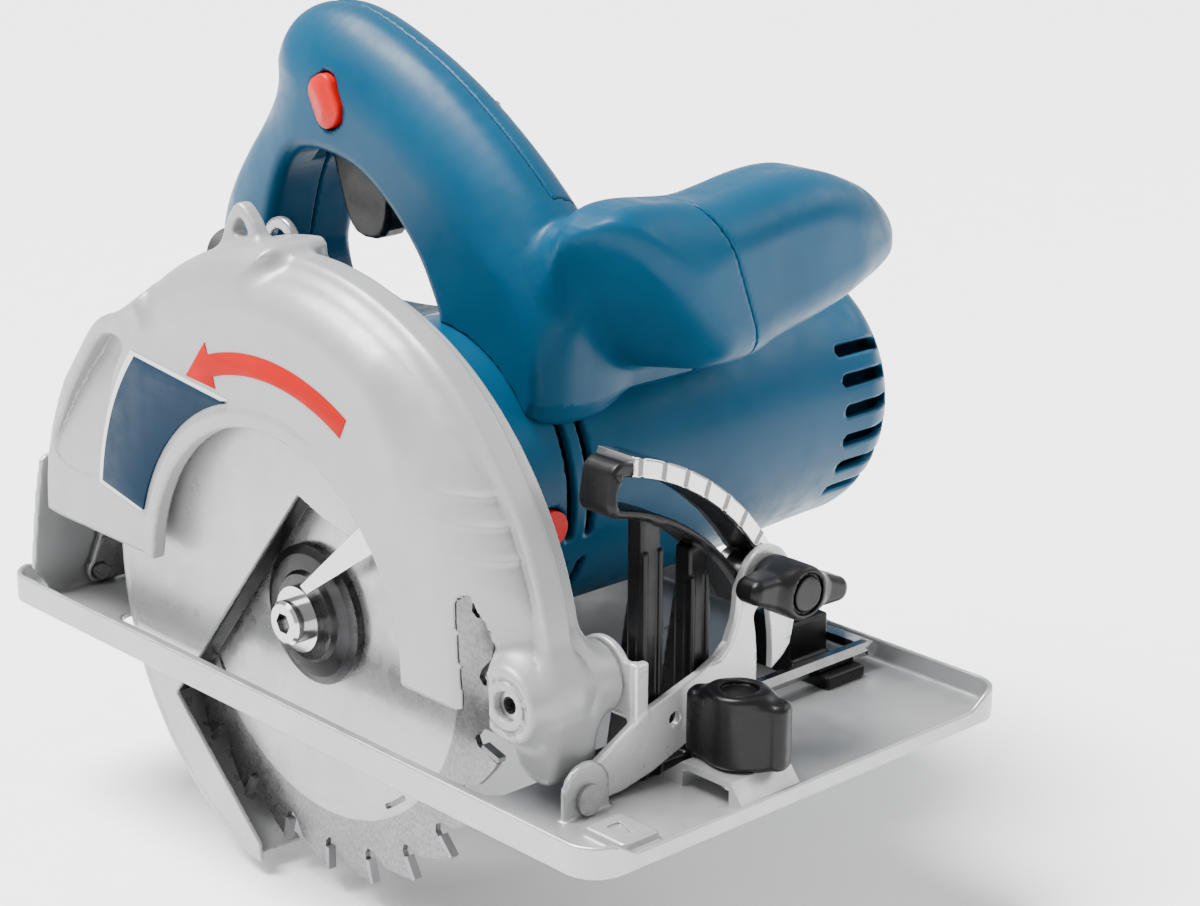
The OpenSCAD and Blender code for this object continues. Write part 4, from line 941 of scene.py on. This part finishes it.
REAR = node_box("rear_bracket")
DEPTH_SLOT_R, DEPTH_SLOT_ENDS = 158, (3, 36.5)
FOOT = [(REAR[0].x, 2.6), (-80, 2.6), (CLAMP.x + 7, 25), (CLAMP.x + 7, 34), (-74, 40), (-100, 28),
        (REAR[0].x, 28)]
HANGER = [(TILT.y, TILT.z - 3.6), (REAR[1].y - 1.5, 2.6), (REAR[1].y - 1.5, 28), (TILT.y + 2, 20),
          (TILT.y - 3, TILT.z + 2)]


def rear_bracket(x, y, z):
    """The slotted arc that the depth clamp slides along, its foot, and the hanger on the tilt pin."""
    line = arc_slot(*polar(-x, z, (-PIVOT.x, PIVOT.z)), DEPTH_SLOT_R, DEPTH_SLOT_ENDS, 0)
    low = REAR[1].y - 2.5
    flat = np.minimum(line - 8, outline(FOOT, x, z))
    body = cut(slab(flat, y, low, REAR[1].y, 0.6), line - 4.4, 0.4)
    hanger = np.minimum(outline(HANGER, y, z), disc(y, z, TILT_AXIS, 4))
    body = join(body, slab(hanger, x, REAR[0].x, REAR[0].x + 2.5, 0.6), 1)
    return cut(body, np.maximum(disc(y, z, TILT_AXIS, TILT_HOLE), x - REAR[0].x - 4), 0.3)


part(solid("depth_bracket", rear_bracket, REAR[0] - MARGIN, REAR[1] + MARGIN, 0.75, PLATED,
           "bevel_frame"), ["rear_bracket"])


# ---- knobs, lever, trigger, button and clip ----
WING = 19


def bevel_knob(x, y, z):
    """A winged knob on the bevel bolt, with a ring pressed into its face."""
    u, v = turned(y - KNOB.y, z - KNOB.z, -12)
    r, x = np.hypot(u, v), x - BRACKET[1].x
    hub = slab(r - 7.6, x, 0.3, 15, 1.6)
    outer = smooth(np.abs(u), 8, WING)
    wing = round_and(np.abs(v) - 4.7 + 1.4 * outer, np.abs(u) - WING, 3)
    body = join(hub, slab(wing, x, 3.6 + 1.5 * outer, 14, 2.6), 3.5)
    face = slab(np.abs(r - 5.4) - 0.5, x, 14.4, 16, 0.2)
    return cut(cut(body, face, 0.3), np.maximum(r - 3.06, x - 9.5), 0.3)


part(solid("bevel_wing_knob", bevel_knob, (105, KNOB.y - 20, KNOB.z - 20),
           (122, KNOB.y + 20, KNOB.z + 20), 0.55, BLACK, "bevel_knob"), ["bevel_knob"])


def fence_knob(x, y, z):
    """A winged knob that stands on the fence bridge."""
    r = disc(x, y, (FENCE.x, FENCE.y), 0)
    u, v = turned(x - FENCE.x, y - FENCE.y, 20)
    hub = slab(r - 8.6, z, 9.3, 30, 1.6)
    wing = slab(block(u, v, (-14.5, -4), (14.5, 4), 3.2), z, 9.5, 28.2, 2)
    body = join(join(hub, wing, 3.5), slab(r - 3, z, 7.4, 10, 0.3), 0.5)
    return cut(body, np.maximum(r - 5.2, 28.8 - z), 0.5)


part(solid("fence_wing_knob", fence_knob, (FENCE.x - 16, FENCE.y - 16, 7),
           (FENCE.x + 16, FENCE.y + 16, 31), 0.6, BLACK, "fence_knob"), ["fence_knob"])

LEVER = node_box("depth_lever")


def depth_lever(x, y, z):
    """The clamp's lever, leaning back from its hub."""
    u, v = turned(x - CLAMP.x, z - CLAMP.z, -30)
    arm = slab(block(u, v, (-42, -5), (2, 5), 4.6), y, LEVER[0].y + 2.6, LEVER[1].y - 1.8, 2)
    hub = slab(np.hypot(u, v) - 9, y, LEVER[0].y, LEVER[1].y, 1.2)
    return cut(join(hub, arm, 2.5), np.hypot(u, v) - 4.05, 0.4)


part(solid("clamp_lever", depth_lever, LEVER[0] - MARGIN, LEVER[1] + MARGIN, 0.7, BLACK, "depth_lever"),
     ["depth_lever"])

TRIGGER_OUTLINE = rounded([
    (-33, 155), (-33, 146), (-39, 134), (-41, 122), (-45, 117.5), (-55, 117), (-60, 121), (-65, 134),
    (-69, 146), (-70, 152), (-66, 154), (-44, 154)], 1)


def trigger(x, y, z):
    """The switch's trigger, hollowed for the finger, with its pivot pin."""
    body = slab(outline(TRIGGER_OUTLINE, x, z), y, GRIP_MID - 4.8, GRIP_MID + 4.8, 1.8)
    body = cut(body, disc(x, z, (-24.5, 126), 16), 1.2)
    pin = slab(disc(x, z, (TRIGGER.x, TRIGGER.z), 2), y, GRIP_MID - 8.8, GRIP_MID + 8.8, 0.3)
    return join(body, pin, 0.3)


part(solid("switch_trigger", trigger, (-71, -5, 116), (-32, 15, 156), 0.7, BLACK, "trigger"), ["trigger"])

BUTTON_Y = node_box("lock_off_button")[0].y


def lock_off(x, y, z):
    """The red lock-off button, slightly domed."""
    u, v = turned(x - BUTTON.x, z - BUTTON.z, -LEAN)
    flat = block(u, v, (-5.8, -8), (5.8, 8), 4.8)
    domed = BUTTON_Y + 0.9 * smooth(flat, -6, 0)
    return slab(flat, y, domed, BUTTON_Y + 9, 0.9)


part(solid("lock_button", lock_off, (BUTTON.x - 10, BUTTON_Y - 1, BUTTON.z - 11),
           (BUTTON.x + 10, BUTTON_Y + 10, BUTTON.z + 11), 0.5, RED, "lock_off_button"), ["lock_off_button"])

CLIP = node_box("hex_key_clip")
CLIP_X = CLIP[0].x + 13


def hex_key_clip(x, y, z):
    """A foot, a tower and a T-shaped head that hold the hex key."""
    foot = block(x, z, (CLIP_X - 13, PLATE_T), (CLIP_X + 23, 6), 1)
    tower = block(x, z, (CLIP_X - 8, 4), (CLIP_X + 8, 18), 1)
    stem = np.minimum(block(x, z, (CLIP_X - 2, 17), (CLIP_X + 2, 25)),
                      block(x, z, (CLIP_X - 7, 23), (CLIP_X + 7, 27), 1.8))
    flat = join(join(foot, tower, 1.5), stem, 1)
    body = slab(flat, y, CLIP[0].y, CLIP[1].y, 0.8)
    return cut(body, disc(x, z, (CLIP_X + 18, 8.4), 2.6), 0.4)


part(solid("key_clip", hex_key_clip, (CLIP[0].x - 1, CLIP[0].y - 1, PLATE_T - 1), CLIP[1] + MARGIN, 0.6,
           BLACK, "base"), ["hex_key_clip"])


# ---- lower guard ----
LOWER_R, LOWER_T = 86, 1.5
SHEAR = [(3, 38), (-61, -41), (-21, -77), (-16, -130), (140, -130), (140, 146), (29, 31), (15, 34)]


def lower_guard(x, y, z):
    """Two walls and a rim round the blade's lower half, the near wall cut off along a slant."""
    u, v = x - SPIN.x, z - SPIN.z
    r, angle = polar(u, v, (0, 0))
    near, far = LOWER[0].y, LOWER[1].y

    def sector(start, end):
        beyond = np.abs(angle % 360 - (start + end) / 2) - (end - start) / 2
        return beyond * math.radians(1) * np.minimum(r, LOWER_R)

    wall = np.maximum(np.maximum(r - LOWER_R, -outline(SHEAR, u, v)), sector(40, 256))
    body = slab(wall, y, near, near + LOWER_T, 0.4)
    band = np.maximum(np.maximum(r - LOWER_R, LOWER_R - LOWER_T - r), sector(46.6, 254))
    body = join(body, slab(band, y, near, far, 0.3), 1)
    gear_wall = np.minimum(np.maximum(r - LOWER_R, sector(110, 250)), r - 31)
    body = join(body, slab(gear_wall, y, far - LOWER_T, far, 0.3), 1)
    return cut(body, np.maximum(r - 23.8, near + 4 - y), 0.3)


def leading_edge_shade(x, y, z):
    """Painted shade: a black strip behind the lower guard's leading edge, standing for the inside of its
    flange in deep shadow.
    """
    u, v = x - SPIN.x, z - SPIN.z
    strip = outline([(3, 37.6), (-60.6, -41), (-63.4, -39), (0.2, 39.8)], u, v)
    return slab(strip, y, LOWER[0].y + 1.2, LOWER[0].y + 8, 0.7)


# painted shade: this black strip stands for the deep shadow inside the lower guard's flange
part(solid("lower_guard_edge_shade", leading_edge_shade, (SPIN.x - 66, LOWER[0].y, SPIN.z - 44),
           (SPIN.x + 5, LOWER[0].y + 9, SPIN.z + 42), 0.6, BLACK, "lower_guard"),
     ["lower_guard"])
part(solid("swing_guard", lower_guard, LOWER[0] - Vector((3, 1, 1)), LOWER[1] + Vector((3, 1, 1)),
           (0.9, 0.55, 0.9), LOWER_COAT, "lower_guard"), ["lower_guard"])


# ---- stage ----
FLOOR_GAP = 4


def make_stage():
    """A pale floor far enough below the saw for the closed lower guard, and an even white sky."""
    bpy.context.view_layer.update()
    floor_z = cad_low.z - FLOOR_GAP * MM
    work = bmesh.new()
    bmesh.ops.create_grid(work, x_segments=8, y_segments=8, size=6.0)
    mesh = bpy.data.meshes.new("floor")
    work.to_mesh(mesh)
    work.free()
    floor = bpy.data.objects.new("floor", mesh)
    floor.location = (0, 0, floor_z)
    bpy.context.scene.collection.objects.link(floor)
    mesh.materials.append(material("floor_paper", (0.95, 0.95, 0.95), 0.75, mottle=0.01, specular=0.1))
    world = bpy.context.scene.world or bpy.data.worlds.new("studio")
    bpy.context.scene.world = world
    world.use_nodes = True
    backdrop = world.node_tree.nodes["Background"]
    backdrop.inputs["Color"].default_value = (1, 1, 1, 1)
    backdrop.inputs["Strength"].default_value = 0.9


def set_down(name, data, turn, place=(0, 0, 0)):
    """A light or camera at a place, turned by a quaternion."""
    obj = bpy.data.objects.new(name, data)
    obj.location = place
    obj.rotation_mode = "QUATERNION"
    obj.rotation_quaternion = turn
    bpy.context.scene.collection.objects.link(obj)
    return obj


def softbox(name, place, aim, size, power):
    """A rectangular light at place, turned towards aim."""
    light = bpy.data.lights.new(name, "AREA")
    light.shape = "RECTANGLE"
    light.size, light.size_y = size
    light.energy = power
    set_down(name, light, (Vector(aim) - Vector(place)).to_track_quat("-Z", "Y"), place)


def overhead(name, away, spread, strength):
    """A broad even light from one side of the sky, which also keeps the floor evenly white."""
    light = bpy.data.lights.new(name, "SUN")
    light.angle = math.radians(spread)
    light.energy = strength
    set_down(name, light, Vector(away).to_track_quat("Z", "Y"))


def make_camera():
    """The photograph's viewing angle: direction, distance and lens, with aim in the middle of the picture."""
    azimuth, elevation, roll = math.radians(46.83), math.radians(17.95), math.radians(0.35)
    distance, lens = 0.797, 80.63
    aim = Vector((0.0171, 0.0329, 0.0589))
    back = Vector((math.sin(azimuth) * math.cos(elevation), -math.cos(azimuth) * math.cos(elevation),
                   math.sin(elevation)))
    camera = bpy.data.cameras.new("camera")
    camera.lens = lens
    camera.sensor_width = 36
    camera.clip_start, camera.clip_end = 0.05, 50
    turn = (-back).to_track_quat("-Z", "Y") @ Quaternion((0, 0, 1), roll)
    bpy.context.scene.camera = set_down("camera", camera, turn, aim + back * distance)


make_stage()
make_camera()
overhead("overhead", (-0.35, -0.25, 1.0), 34, 11.0)
softbox("key", (-0.55, -1.05, 1.25), (0, 0, 0.06), (0.7, 0.7), 10)
softbox("rim", (0.6, 1.3, 0.9), (0, 0.05, 0.1), (1.2, 0.5), 8)
